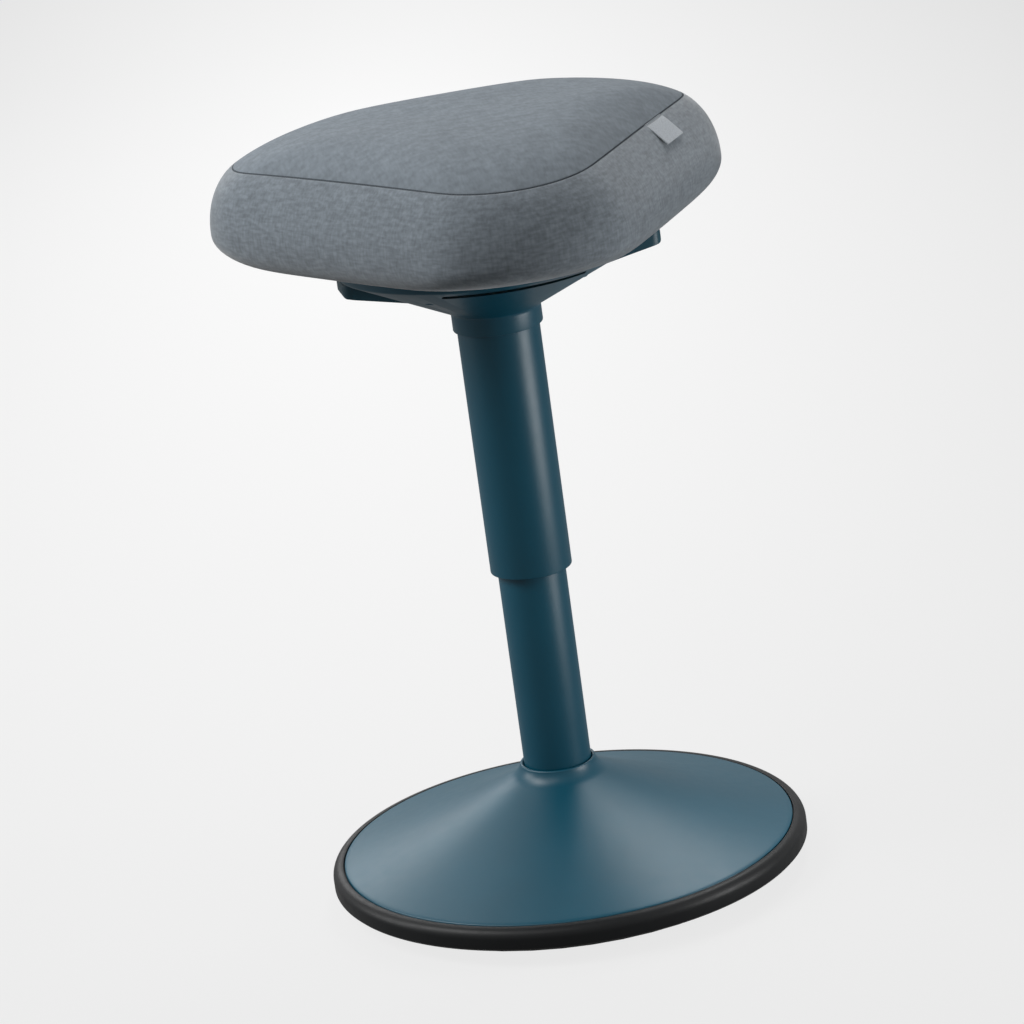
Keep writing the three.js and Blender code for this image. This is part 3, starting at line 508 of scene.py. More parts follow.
def new_material(name, colour, roughness, metallic=0.0):
    """A node material and its Principled shader."""
    material = bpy.data.materials.new(name)
    material.use_nodes = True
    shader = material.node_tree.nodes["Principled BSDF"]
    shader.inputs["Base Color"].default_value = (*colour, 1)
    shader.inputs["Roughness"].default_value = roughness
    shader.inputs["Metallic"].default_value = metallic
    return material, shader


def add_node(material, kind, **inputs):
    node = material.node_tree.nodes.new(kind)
    for name, value in inputs.items():
        node.inputs[name.replace("_", " ")].default_value = value
    return node


def stretched_coordinates(material, stretch):
    """Object coordinates, with each axis divided by a length in millimetres."""
    links = material.node_tree.links
    coordinates = add_node(material, "ShaderNodeTexCoord")
    mapping = add_node(material, "ShaderNodeMapping")
    mapping.inputs["Scale"].default_value = [1 / mm(length) for length in stretch]
    links.new(coordinates.outputs["Object"], mapping.inputs["Vector"])
    return mapping.outputs["Vector"]


def add_noise(material, stretch, detail=2.0, rough=0.5):
    noise = add_node(material, "ShaderNodeTexNoise", Scale=1.0, Detail=detail, Roughness=rough)
    material.node_tree.links.new(stretched_coordinates(material, stretch), noise.inputs["Vector"])
    return noise.outputs["Fac"]


def ramp(material, source, span, dark, light):
    """Maps a grey source between the two levels of a span to a run from one colour or grey to another."""
    node = add_node(material, "ShaderNodeValToRGB")
    for element, level, colour in zip(node.color_ramp.elements, span, (dark, light)):
        element.position = level
        element.color = (*colour, 1) if isinstance(colour, tuple) else (colour, colour, colour, 1)
    material.node_tree.links.new(source, node.inputs["Fac"])
    return node.outputs["Color"]


def mixed(material, kind, factor, first, second):
    node = material.node_tree.nodes.new("ShaderNodeMix")
    node.data_type = "RGBA"
    node.blend_type = kind
    node.inputs["Factor"].default_value = factor
    material.node_tree.links.new(first, node.inputs["A"])
    material.node_tree.links.new(second, node.inputs["B"])
    return node.outputs["Result"]


def add_bump(material, shader, source, depth):
    """A bump whose full grey range is depth millimetres high."""
    bump = add_node(material, "ShaderNodeBump", Strength=1.0, Distance=mm(depth))
    material.node_tree.links.new(source, bump.inputs["Height"])
    material.node_tree.links.new(bump.outputs["Normal"], shader.inputs["Normal"])


def scaled(colour, factor):
    return tuple(value * factor for value in colour)


def coated(name, colour, roughness, grain, depth, variation=0.08, specular=0.5, gloss_spread=0.05):
    """A painted or moulded surface: a fine grain, slow changes of colour and of gloss."""
    material, shader = new_material(name, colour, roughness)
    shader.inputs["Specular IOR Level"].default_value = specular
    links = material.node_tree.links
    slow = add_noise(material, TONE_PATCH, detail=3)
    tone = ramp(material, slow, NOISE_SPAN, scaled(colour, 1 - variation), scaled(colour, 1 + variation))
    links.new(tone, shader.inputs["Base Color"])
    patches = add_noise(material, GLOSS_PATCH, detail=4)
    gloss = ramp(material, patches, WIDE_NOISE_SPAN, roughness - gloss_spread, roughness + gloss_spread)
    links.new(gloss, shader.inputs["Roughness"])
    add_bump(material, shader, add_noise(material, (grain, grain, grain), detail=3), depth)
    return material


def metal(name, colour, roughness):
    """Plated or cast metal with a fine directional grain."""
    material, shader = new_material(name, colour, roughness, metallic=1.0)
    links = material.node_tree.links
    streaks = add_noise(material, METAL_GRAIN, detail=3)
    tone = ramp(material, streaks, NOISE_SPAN, *[scaled(colour, share) for share in METAL_TONES])
    links.new(tone, shader.inputs["Base Color"])
    gloss = ramp(material, streaks, NOISE_SPAN, *[roughness + step for step in METAL_ROUGHNESS_STEPS])
    links.new(gloss, shader.inputs["Roughness"])
    add_bump(material, shader, streaks, METAL_BUMP)
    return material


def woven(name, colour, streak, thread, contrast, depth, sheen):
    """Melange cloth: streaks of light and dark yarn one way, crossed by finer threads the other way."""
    material, shader = new_material(name, colour, CLOTH_ROUGHNESS)
    shader.inputs["Sheen Weight"].default_value = sheen
    shader.inputs["Sheen Roughness"].default_value = CLOTH_SHEEN_ROUGHNESS
    shader.inputs["Specular IOR Level"].default_value = CLOTH_SPECULAR
    streaks = add_noise(material, streak, detail=1)
    threads = add_noise(material, thread, detail=1)
    clouds = add_noise(material, CLOUD_PATCH, detail=2)
    faint = contrast * THREAD_CONTRAST_SHARE
    streak_tone = ramp(material, streaks, STREAK_SPAN, 1 - contrast, 1 + contrast)
    thread_tone = ramp(material, threads, NOISE_SPAN, 1 - faint, 1 + faint)
    cloud_tone = ramp(material, clouds, NOISE_SPAN, *[scaled(colour, share) for share in CLOUD_TONES])
    tone = mixed(material, "MULTIPLY", 1.0, cloud_tone, streak_tone)
    tone = mixed(material, "MULTIPLY", 1.0, tone, thread_tone)
    material.node_tree.links.new(tone, shader.inputs["Base Color"])
    height = mixed(material, "MIX", 0.5, streaks, threads)
    add_bump(material, shader, height, depth)
    return material


def grained_wood(name, colour):
    material, shader = new_material(name, colour, WOOD_ROUGHNESS)
    grain = add_noise(material, WOOD_GRAIN, WOOD_GRAIN_DETAIL, WOOD_GRAIN_ROUGHNESS)
    tone = ramp(material, grain, GRAIN_SPAN, *[scaled(colour, share) for share in WOOD_TONES])
    material.node_tree.links.new(tone, shader.inputs["Base Color"])
    add_bump(material, shader, grain, WOOD_BUMP)
    return material


def make_materials():
    """Every finish by its key: a material slot of the record, or the cushion's panel, or the dark cloth of
    its seam's groove, which is painted shade in the crease.
    """
    return {
        "coat": coated("petrol_coat", colour=(0.001, 0.076, 0.124), roughness=0.38,
                       grain=0.9, depth=0.012, variation=0.05, gloss_spread=0.02),
        # The levers are the coat's petrol made darker, as painted shade for the levers under the seat.
        "paddle": coated("petrol_moulding_painted_shade", colour=(0.001, 0.055, 0.085), roughness=0.42,
                         grain=0.5, depth=0.02),
        "rubber": coated("black_rubber", colour=(0.010, 0.011, 0.012), roughness=0.42,
                         grain=0.35, depth=0.02, specular=0.25),
        "steel": metal("plated_steel", colour=(0.55, 0.56, 0.57), roughness=0.34),
        "iron": coated("cast_iron", colour=(0.05, 0.05, 0.052), roughness=0.75,
                       grain=1.2, depth=0.15, variation=0.25),
        "polymer": coated("natural_acetal", colour=(0.66, 0.64, 0.6), roughness=0.45,
                          grain=0.8, depth=0.01, variation=0.03),
        "plywood": grained_wood("birch_plywood", colour=(0.47, 0.29, 0.13)),
        "seat_fabric": woven("slate_side_weave", SLATE, streak=(8.5, 8.5, 2.1), thread=(2.1, 2.1, 6.5),
                             contrast=0.14, depth=0.18, sheen=0.5),
        "panel": woven("slate_top_weave", SLATE, streak=(8.0, 6.0, 6.0), thread=(2.0, 7.0, 4.0),
                       contrast=0.09, depth=0.18, sheen=0.1),
        # The groove's dark cloth is painted shade: the crease between band and panel, darkened in its colour.
        "groove": woven("seam_painted_shade", colour=(0.085, 0.098, 0.111), streak=(0.6,) * 3, thread=(0.3,) * 3,
                        contrast=0.2, depth=0.1, sheen=0.0),
        "tag_fabric": woven("grey_tag_tape", colour=(0.50, 0.54, 0.58), streak=(1.4, 1.4, 0.5),
                            thread=(0.4,) * 3, contrast=0.1, depth=0.12, sheen=0.2),
    }


def dress_cad_nodes(materials):
    """Gives every CAD node its material, and smooth shading between its sharp edges."""
    slots = {part["node"]: part["material_slot"] for part in frame["record"]["subparts"]}
    for name, node in frame["nodes"].items():
        finish = materials["polymer"] if slots[name] == "foam" else materials[slots[name]]
        node.data.materials.clear()
        node.data.materials.append(finish)
        node.data.polygons.foreach_set("use_smooth", [True] * len(node.data.polygons))
        weld = node.modifiers.new("weld", "WELD")
        weld.merge_threshold = mm(WELD_DISTANCE)
        split = node.modifiers.new("split", "EDGE_SPLIT")
        split.split_angle = math.radians(SHARP_ANGLE)


def put(obj, materials, slot, body, *replaced):
    """Gives a piece the slot's finish unless it has its own, attaches it to its body and hides the nodes it
    replaces.
    """
    if not obj.data.materials:
        obj.data.materials.append(materials[slot])
    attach(obj, body)
    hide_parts(*replaced)


# Foot and column


def ring_profile():
    top = RIM_HEIGHT - SEAT_GAP
    inner = RING_RADIUS - RING_WALL - RING_SHOULDER
    lip = RIM_RADIUS + RIM_GROOVE
    ledge = RIM_HEIGHT - DOME_WALL - 2 * SEAT_GAP
    shoulder = arc(RING_RADIUS - RING_SHOULDER, top - RING_SHOULDER, RING_SHOULDER, 0, math.pi / 2,
                   SHOULDER_STEPS)
    return [
        (SOLE_RADIUS + SEAT_GAP, RING_FOOT_HEIGHT - RING_FOOT_EDGE),
        (RING_RADIUS - RING_FOOT_EDGE, RING_FOOT_HEIGHT),
        (RING_RADIUS, RING_FOOT_HEIGHT + RING_FOOT_EDGE),
        *shoulder,
        (lip, top),
        (lip, ledge),
        (inner, ledge),
        (inner, SOLE_THICKNESS + SEAT_GAP),
        (SOLE_RADIUS + SEAT_GAP, SOLE_THICKNESS + SEAT_GAP),
    ]


def dome_curve(drop, start_radius, end_radius, steps):
    """The dome's hollow flank from its shoulder to the rim, or its underside, a drop lower."""
    start = Vector((start_radius, BEAD_TOP - DOME_SHOULDER_DROP - drop))
    end = Vector((end_radius, RIM_HEIGHT - drop))
    control = Vector((
        start.x + (end.x - start.x) * DOME_CONTROL_SHARE,
        RIM_HEIGHT + DOME_CONTROL_RISE - drop,
    ))
    return curve(start, control, end, steps_to(1, steps))


def dome_profile():
    """A small bead round the tube, a hollow fillet, the flank and the underside."""
    bore = TUBE_RADIUS + 2 * SEAT_GAP
    bead = arc(bore + BEAD_RADIUS, BEAD_TOP - BEAD_RADIUS, BEAD_RADIUS, math.pi, 0, BEAD_STEPS)
    foot = Vector(bead[-1])
    underside = dome_curve(DOME_WALL, DOME_SHOULDER_RADIUS + DOME_WALL, RIM_RADIUS - DOME_WALL,
                           UNDERSIDE_STEPS)
    flank = dome_curve(0, DOME_SHOULDER_RADIUS, RIM_RADIUS, FLANK_STEPS)
    shoulder, below = Vector(flank[0]), Vector(flank[1])
    hollow_radius = foot.x + FILLET_SETBACK
    steepness = (shoulder.y - below.y) / (below.x - shoulder.x)
    hollow = Vector((hollow_radius, shoulder.y + steepness * (shoulder.x - hollow_radius)))
    return [
        *bead,
        *curve(foot, hollow, shoulder, steps_to(1, FILLET_STEPS)[1:-1]),
        *flank[:-1],
        *rounded(flank[-1], DOME_RIM_ROUND),
        (RIM_RADIUS, RIM_HEIGHT - DOME_WALL),
        *reversed(underside[:-1]),
        (TUBE_RADIUS + HUB_WALL, HUB_TOP + SEAT_GAP),
        (bore, HUB_TOP + SEAT_GAP),
    ]


def tube_profile():
    inside = TUBE_RADIUS - TUBE_WALL
    return [
        (TUBE_FLOOR_HOLE, TUBE_BOTTOM),
        (TUBE_RADIUS, TUBE_BOTTOM),
        (TUBE_RADIUS, TUBE_TOP),
        (inside, TUBE_TOP),
        (inside, TUBE_BOTTOM + TUBE_FLOOR),
        (TUBE_FLOOR_HOLE, TUBE_BOTTOM + TUBE_FLOOR),
    ]


def sleeve_profile():
    inside = SLEEVE_RADIUS - SLEEVE_WALL
    top = NECK_TOP - SEAT_GAP
    return [(inside, SLEEVE_LOWER_EDGE), (SLEEVE_RADIUS, SLEEVE_LOWER_EDGE), (SLEEVE_RADIUS, top),
            (inside, top)]


def build_foot_and_column(materials):
    ring = new_object("rubber_rim", turned("rubber_rim", softened(ring_profile(), RING_ROUND)))
    put(ring, materials, "rubber", "base", "rim_ring")
    dome = new_object("foot_dome", turned("foot_dome", dome_profile()))
    put(dome, materials, "coat", "base", "base_dome")
    tube = new_object("lower_tube", turned("lower_tube", softened(tube_profile(), TUBE_ROUND)))
    put(tube, materials, "coat", "base", "stand_tube")
    sleeve = new_object("upper_sleeve", turned("upper_sleeve", softened(sleeve_profile(), SLEEVE_ROUND)))
    put(sleeve, materials, "coat", "seat", "cover_sleeve")


# Head, cut by the paddles' windows and the front slot


def cone_height(radius):
    return NECK_TOP + (radius - NECK_RADIUS) * HEAD_SLOPE_SHARE


def head_profile():
    """The cast cone with the neck that takes the sleeve and the socket that takes the gas cylinder."""
    inside = SLEEVE_RADIUS + SEAT_GAP
    drop = HEAD_WALL * math.hypot(1, HEAD_SLOPE_SHARE)
    inner_rim = HEAD_RADIUS - HEAD_WALL
    mouth = SOCKET_BORE - TAPER_NARROWING
    hollow_middle = NECK_RADIUS + NECK_HOLLOW_MIDDLE
    hollow_end = NECK_RADIUS + NECK_HOLLOW_END
    cone_end = HEAD_RADIUS - CONE_END_SETBACK
    return [
        (inside, NECK_LOWER_EDGE),
        *rounded((NECK_RADIUS, NECK_LOWER_EDGE), NECK_LOWER_ROUND),
        (NECK_RADIUS, NECK_TOP - NECK_WALL),
        (NECK_RADIUS + NECK_HOLLOW_START, NECK_TOP - NECK_WALL / 2),
        (hollow_middle, cone_height(hollow_middle) - NECK_HOLLOW_DROP),
        (hollow_end, cone_height(hollow_end)),
        (cone_end, cone_height(cone_end)),
        *rounded((HEAD_RADIUS, HEAD_RIM_BOTTOM), HEAD_RIM_LOWER_ROUND),
        *rounded((HEAD_RADIUS, HEAD_TOP), HEAD_RIM_UPPER_ROUND),
        (inner_rim, HEAD_TOP),
        (inner_rim, cone_height(inner_rim) + drop),
        (inside, cone_height(inside) + drop),
        (SOCKET_RADIUS, NECK_TOP + HEAD_WEB),
        (SOCKET_RADIUS, SOCKET_TOP),
        (mouth, SOCKET_TOP),
        (mouth, CYLINDER_TOP),
        (SOCKET_BORE, CYLINDER_TOP - TAPER_LENGTH),
        (SOCKET_BORE, SOCKET_BOTTOM),
        (SOCKET_RADIUS, SOCKET_BOTTOM),
        (SOCKET_RADIUS, NECK_TOP),
        (inside, NECK_TOP),
    ]


def upright(x, y, z):
    return x, y, z


def window_mesh(side):
    """The opening in the cone that a paddle reaches out through."""
    half = PADDLE_WIDTH / 2 + 2 * SEAT_GAP
    near, far = sorted((side * (PADDLE_PIVOT + OVERRUN), side * (HEAD_RADIUS + OVERRUN)))
    outline = [(near, -half), (far, -half), (far, half), (near, half)]
    return extruded("window", outline, NECK_TOP - OVERRUN, HEAD_TOP - HEAD_WALL, upright)


def slot_mesh():
    """The long opening with round ends in the cone's front."""
    half = SLOT_HEIGHT / 2
    middle = SLOT_HALF_WIDTH - half
    height = cone_height(HEAD_RADIUS - SLOT_SETBACK)
    turn = steps_to(math.pi, SLOT_END_STEPS)
    right = [(middle + half * math.sin(a), -half * math.cos(a)) for a in turn]
    left = [(-middle - half * math.sin(a), half * math.cos(a)) for a in turn]
    return extruded("slot", right + left, HEAD_POST_CIRCLE, HEAD_RADIUS + OVERRUN,
                    lambda a, b, depth: (a, -depth, height + b))


def circle(centre_a, centre_b, radius):
    return [(centre_a + radius * math.cos(a), centre_b + radius * math.sin(a))
            for a in steps_to(2 * math.pi, ROD_STEPS)[:-1]]


def post_mesh(angle):
    """One of the four cast posts that carry the mounting plate."""
    outline = circle(HEAD_POST_CIRCLE * math.cos(angle), HEAD_POST_CIRCLE * math.sin(angle), HEAD_POST_RADIUS)
    bottom = cone_height(HEAD_POST_CIRCLE) + HEAD_WALL
    return extruded("post", outline, bottom, MOUNT_PLATE_BOTTOM - SEAT_GAP, upright)


def build_head(materials):
    head = new_object("cast_head", turned("cast_head", head_profile(), HEAD_STEPS))
    combined(head, [post_mesh(math.pi / 4 + i * math.pi / 2) for i in range(4)], "UNION")
    combined(head, [window_mesh(1), window_mesh(-1), slot_mesh()], "DIFFERENCE")
    smooth(head.data, HEAD_SHARP_ANGLE)
    put(head, materials, "coat", "seat", "head_housing")


# Paddles


def bend(start, control, end, steps=ARC_STEPS):
    """The points of a quadratic curve after its start."""
    return curve(start, control, end, steps_to(1, steps)[1:])


def paddle_outline(reach):
    """The lever from the side: finger, hub over the pin, root, belly and thick tip."""
    root_x = PADDLE_PIVOT + PADDLE_ROOT_OFFSET
    root_lower = PADDLE_PIVOT_HEIGHT - PADDLE_ROOT_DROP
    tip_lower = PADDLE_PIVOT_HEIGHT + PADDLE_TIP_RISE
    tip_upper = tip_lower + PADDLE_TIP_HEIGHT
    finger_lower = CAP_TOP + SEAT_GAP
    finger_upper = finger_lower + FINGER_THICKNESS
    hub_inner = PADDLE_PIVOT - PADDLE_HUB_RADIUS
    hub_lower = PADDLE_PIVOT_HEIGHT - PADDLE_HUB_RADIUS
    hub_upper = PADDLE_PIVOT_HEIGHT + PADDLE_HUB_RADIUS
    points = [(FINGER_REACH, finger_lower), (hub_inner - PIN_RADIUS, finger_lower)]
    points += bend(points[-1], (hub_inner, hub_lower), (PADDLE_PIVOT, hub_lower))
    points += bend(points[-1], ((PADDLE_PIVOT + root_x) / 2, hub_lower), (root_x, root_lower))
    points += bend(points[-1], (root_x + PADDLE_BELLY_OFFSET, root_lower + PADDLE_BELLY_RISE),
                   (reach - PADDLE_TIP_RADIUS, tip_lower), BELLY_STEPS)
    points += bend(points[-1], (reach, tip_lower), (reach, tip_lower + PADDLE_TIP_RADIUS))
    points += [(reach, tip_upper - PADDLE_TIP_RADIUS)]
    points += bend(points[-1], (reach, tip_upper), (reach - PADDLE_TIP_RADIUS, tip_upper))
    points += [(PADDLE_PIVOT + PIN_RADIUS, hub_upper)]
    points += bend(points[-1], (PADDLE_PIVOT - PIN_RADIUS, hub_upper), (hub_inner, finger_upper))
    points += [(FINGER_REACH, finger_upper)]
    return points


def paddle_plan(reach):
    """The lever from above: a strip with round outer corners and a narrow finger."""
    half = PADDLE_WIDTH / 2
    finger = FINGER_WIDTH / 2
    neck_x = PADDLE_PIVOT - PADDLE_NECK
    corner_x = reach - PADDLE_CORNER_RADIUS
    corner_y = half - PADDLE_CORNER_RADIUS
    lower = [(corner_x + PADDLE_CORNER_RADIUS * math.sin(a), -corner_y - PADDLE_CORNER_RADIUS * math.cos(a))
             for a in steps_to(math.pi / 2, ARC_STEPS)]
    upper = [(x, -y) for x, y in reversed(lower)]
    return [(0, -finger), (neck_x, -finger), (neck_x, -half), *lower, *upper,
            (neck_x, half), (neck_x, finger), (0, finger)]


def build_paddle(name, node, body, reach, side, materials):
    span = PADDLE_WIDTH / 2 + OVERRUN
    profile = extruded(name, paddle_outline(reach), -span, span, lambda a, b, depth: (side * a, depth, b))
    plan = extruded("plan", paddle_plan(reach), NECK_TOP, HEAD_TOP, lambda a, b, depth: (side * a, b, depth))
    pin = circle(PADDLE_PIVOT, PADDLE_PIVOT_HEIGHT, PIN_RADIUS + SLIDE_GAP)
    way = extruded("pin_way", pin, -2 * span, 2 * span, lambda a, b, depth: (side * a, depth, b))
    paddle = new_object(name, profile)
    combined(paddle, [plan], "INTERSECT")
    bevelled(paddle, PADDLE_BEVEL)
    combined(paddle, [way], "DIFFERENCE")
    smooth(paddle.data, BEVEL_SHARP_ANGLE)
    put(paddle, materials, "paddle", body, node)


# Cushion: rings of a rounded triangle, as in the part's source, with a sewn seam between band and panel

CORNERS = ((0, -NOSE_REACH), (HEEL_HALF_WIDTH, HEEL_DEPTH), (-HEEL_HALF_WIDTH, HEEL_DEPTH))


def turn_centre(angle):
    """A direction, the centre of the outline's turn there, blended between the corners, and its reach."""
    direction = (math.sin(angle), -math.cos(angle))
    size = (NOSE_REACH + 2 * math.hypot(HEEL_HALF_WIDTH, HEEL_DEPTH)) / len(CORNERS)
    reaches = [x * direction[0] + y * direction[1] for x, y in CORNERS]
    weights = [math.exp(CORNER_BLEND_SHARE * (reach - max(reaches)) / size) for reach in reaches]
    total = sum(weights)
    centre = [sum(corner[k] * weight for corner, weight in zip(CORNERS, weights)) / total for k in (0, 1)]
    return direction, centre, centre[0] * direction[0] + centre[1] * direction[1]


def outline_point(angle, inset, spread=1.0, roundness=0.0):
    """A point of the outline, drawn in by an inset, scaled by a spread and made rounder by a roundness."""
    direction, centre, _ = turn_centre(angle)
    radius = CORNER_RADIUS + roundness * ROUND_REACH - inset
    return [spread * ((1 - roundness) * centre[k] + radius * direction[k]) for k in (0, 1)]


def outline_angle(i):
    """The direction of a ring's point; the points lie closer together along the sides."""
    angle = 2 * math.pi * i / OUTLINE_STEPS
    return angle + SIDE_PACKING_SHARE * math.sin(len(CORNERS) * angle)


TURN_REACHES = [turn_centre(outline_angle(i))[2] for i in range(OUTLINE_STEPS)]


def seam_droop(angle):
    """How much lower the seam runs in a direction than over the middle of a side."""
    least = min(TURN_REACHES)
    return CORNER_DROOP * (turn_centre(angle)[2] - least) / (max(TURN_REACHES) - least)


def seam_turn(angle):
    """The angle through which the side band turns before it meets the top panel without a crease."""
    reach = turn_centre(angle)[2]
    run = (1 + CROWN_ROUND_SHARE) * reach + CORNER_RADIUS - SEAM_INSET - CROWN_ROUND_SHARE * ROUND_REACH
    rise = SEAM_RISE - BULGE_RISE - seam_droop(angle)
    steepness = CROWN_RISE * CROWN_FULLNESS_SHARE * SEAM_INSET / (run * rise)
    return math.acos(steepness / (1 - steepness))


def low_point(angle, share):
    """A place on the side band from the hem's edge, at 0, to its widest line, at 1."""
    turn = share * math.pi / 2
    tucked = 1 - math.sin(turn)
    return (*outline_point(angle, LOWER_TUCK * tucked, 1, LOWER_ROUND_SHARE * tucked),
            BULGE_Z - BULGE_RISE * math.cos(turn))


def high_point(angle, share):
    """A place on the side band from its widest line, at 0, to the seam, at 1."""
    end = seam_turn(angle)
    turn = share * end
    rise = SEAM_RISE - BULGE_RISE - seam_droop(angle)
    return (*outline_point(angle, SEAM_INSET * (1 - math.cos(turn)) / (1 - math.cos(end))),
            BULGE_Z + rise * math.sin(turn) / math.sin(end))


def crown_point(angle, spread):
    """A place on the top panel, from its middle, at 0, to the seam, at 1."""
    return (*outline_point(angle, SEAM_INSET, spread, CROWN_ROUND_SHARE * (1 - spread)),
            SEAM_Z + CROWN_RISE * (1 - spread ** CROWN_FULLNESS_SHARE) - spread * seam_droop(angle))


def hem_point(angle, share, rise):
    """A place on the hem under the pan, from its inner edge, at 0, to the band's lower edge, at 1."""
    return (*outline_point(angle, LOWER_TUCK + COVER_HEM * (1 - share), 1, LOWER_ROUND_SHARE),
            PAD_LOWER_EDGE + rise)


def cushion_rings():
    """Every ring from the hem's inner edge over band, seam and crown, and the number of the seam's ring."""
    angles = [outline_angle(i) for i in range(OUTLINE_STEPS)]
    high_length = math.dist(high_point(0, 0), high_point(0, 1))
    crown_length = math.dist(crown_point(0, 1), crown_point(0, 0))
    rings = [[hem_point(angle, share, rise) for angle in angles]
             for share, rise in ((0, COVER_THICKNESS), (0, HEM_FOLD), (HEM_FOLD / COVER_HEM, 0))]
    rings += [[hem_point(angle, k / HEM_RINGS, 0) for angle in angles] for k in range(1, HEM_RINGS)]
    rings += [[low_point(angle, k / LOW_RINGS) for angle in angles] for k in range(LOW_RINGS)]
    high_shares = [1 - k / HIGH_RINGS for k in range(HIGH_RINGS, 0, -1)
                   if k / HIGH_RINGS * high_length > SEAM_ZONE]
    high_shares += [1 - reach / high_length for reach in reversed(SEAM_REACHES)]
    rings += [[high_point(angle, share) for angle in angles] for share in high_shares]
    seam_index = len(rings)
    crown_shares = [1] + [1 - reach / crown_length for reach in SEAM_REACHES]
    inward_shares = [(k / CROWN_RINGS) ** CROWN_PACKING_POWER for k in range(1, CROWN_RINGS)]
    crown_shares += [1 - share for share in inward_shares if share * crown_length > SEAM_ZONE]
    rings += [[crown_point(angle, share) for angle in angles] for share in crown_shares]
    return rings, seam_index


def cushion_mesh(rings):
    points = [point for ring in rings for point in ring]
    top = len(points)
    points.append((0, 0, SEAM_Z + CROWN_RISE))
    faces = []
    for ring in range(len(rings) - 1):
        here, there = ring * OUTLINE_STEPS, (ring + 1) * OUTLINE_STEPS
        for i in range(OUTLINE_STEPS):
            j = (i + 1) % OUTLINE_STEPS
            faces.append((here + i, here + j, there + j, there + i))
    last = (len(rings) - 1) * OUTLINE_STEPS
    faces += [(last + i, last + (i + 1) % OUTLINE_STEPS, top) for i in range(OUTLINE_STEPS)]
    return mesh_from("seat_cushion", points, faces)


def evened(moves):
    """Averages each point's move with its neighbours', ring by ring, so the fine rows stay even."""
    rings = len(moves) // OUTLINE_STEPS
    for _ in range(SWELL_SMOOTHINGS):
        before = moves
        moves = list(before)
        for ring in range(1, rings - 1):
            start = ring * OUTLINE_STEPS
            for i in range(OUTLINE_STEPS):
                here = start + i
                beside = before[start + (i - 1) % OUTLINE_STEPS] + before[start + (i + 1) % OUTLINE_STEPS]
                around = beside + before[here - OUTLINE_STEPS] + before[here + OUTLINE_STEPS]
                moves[here] = (before[here] + around / 4) / 2
    return moves


def swell(cushion):
    """Lets the cover swell as cloth under the foam's pressure, held at its hem, and keeps a capped part."""
    rest = [vertex.co.copy() for vertex in cushion.data.vertices]
    normals = [vertex.normal.copy() for vertex in cushion.data.vertices]
    held = cushion.vertex_groups.new(name="held")
    held.add(list(range(HELD_RINGS * OUTLINE_STEPS)), 1.0, "REPLACE")
    cloth = cushion.modifiers.new("cloth", "CLOTH")
    for name, value in CLOTH_SETTINGS.items():
        setattr(cloth.settings, name, value)
    cloth.settings.vertex_group_mass = "held"
    cloth.settings.effector_weights.gravity = 0
    cloth.point_cache.frame_start = 1
    cloth.point_cache.frame_end = SWELL_STEPS
    scene = bpy.context.scene
    for step in range(1, SWELL_STEPS + 1):
        scene.frame_set(step)
    applied(cushion)
    scene.frame_set(1)
    cushion.vertex_groups.clear()
    swollen = [vertex.co.copy() for vertex in cushion.data.vertices]
    moves = [max(0, min((after - before).dot(normal), mm(SWELL_CAP)))
             for before, after, normal in zip(rest, swollen, normals)]
    for vertex, start, normal, move in zip(cushion.data.vertices, rest, normals, evened(moves)):
        vertex.co = start + normal * move


def sew_seam(cushion, seam_index):
    """Pulls the seam's ring in between the two rolled fabric edges, as a narrow groove."""
    mesh = cushion.data
    mesh.update()
    normals = [vertex.normal.copy() for vertex in mesh.vertices]
    for ring, depth in SEAM_DEPTHS.items():
        start = (seam_index + ring) * OUTLINE_STEPS
        for index in range(start, start + OUTLINE_STEPS):
            mesh.vertices[index].co -= normals[index] * mm(depth)


def build_cushion(materials):
    rings, seam_index = cushion_rings()
    cushion = new_object("seat_cushion", cushion_mesh(rings))
    swell(cushion)
    sew_seam(cushion, seam_index)
    for finish in ("seat_fabric", "panel", "groove"):
        cushion.data.materials.append(materials[finish])
    # The two rows of faces at the seam get the groove's dark cloth, painted shade in the crease.
    for face in cushion.data.polygons:
        ring = min(face.vertices) // OUTLINE_STEPS - seam_index
        face.material_index = 2 if ring in (-1, 0) else int(ring > 0)
    outward(cushion.data)
    cushion.data.shade_smooth()
    put(cushion, materials, "seat_fabric", "seat", "cover_side_band", "cover_top_panel", "seat_foam")


# Tag sewn into the seam


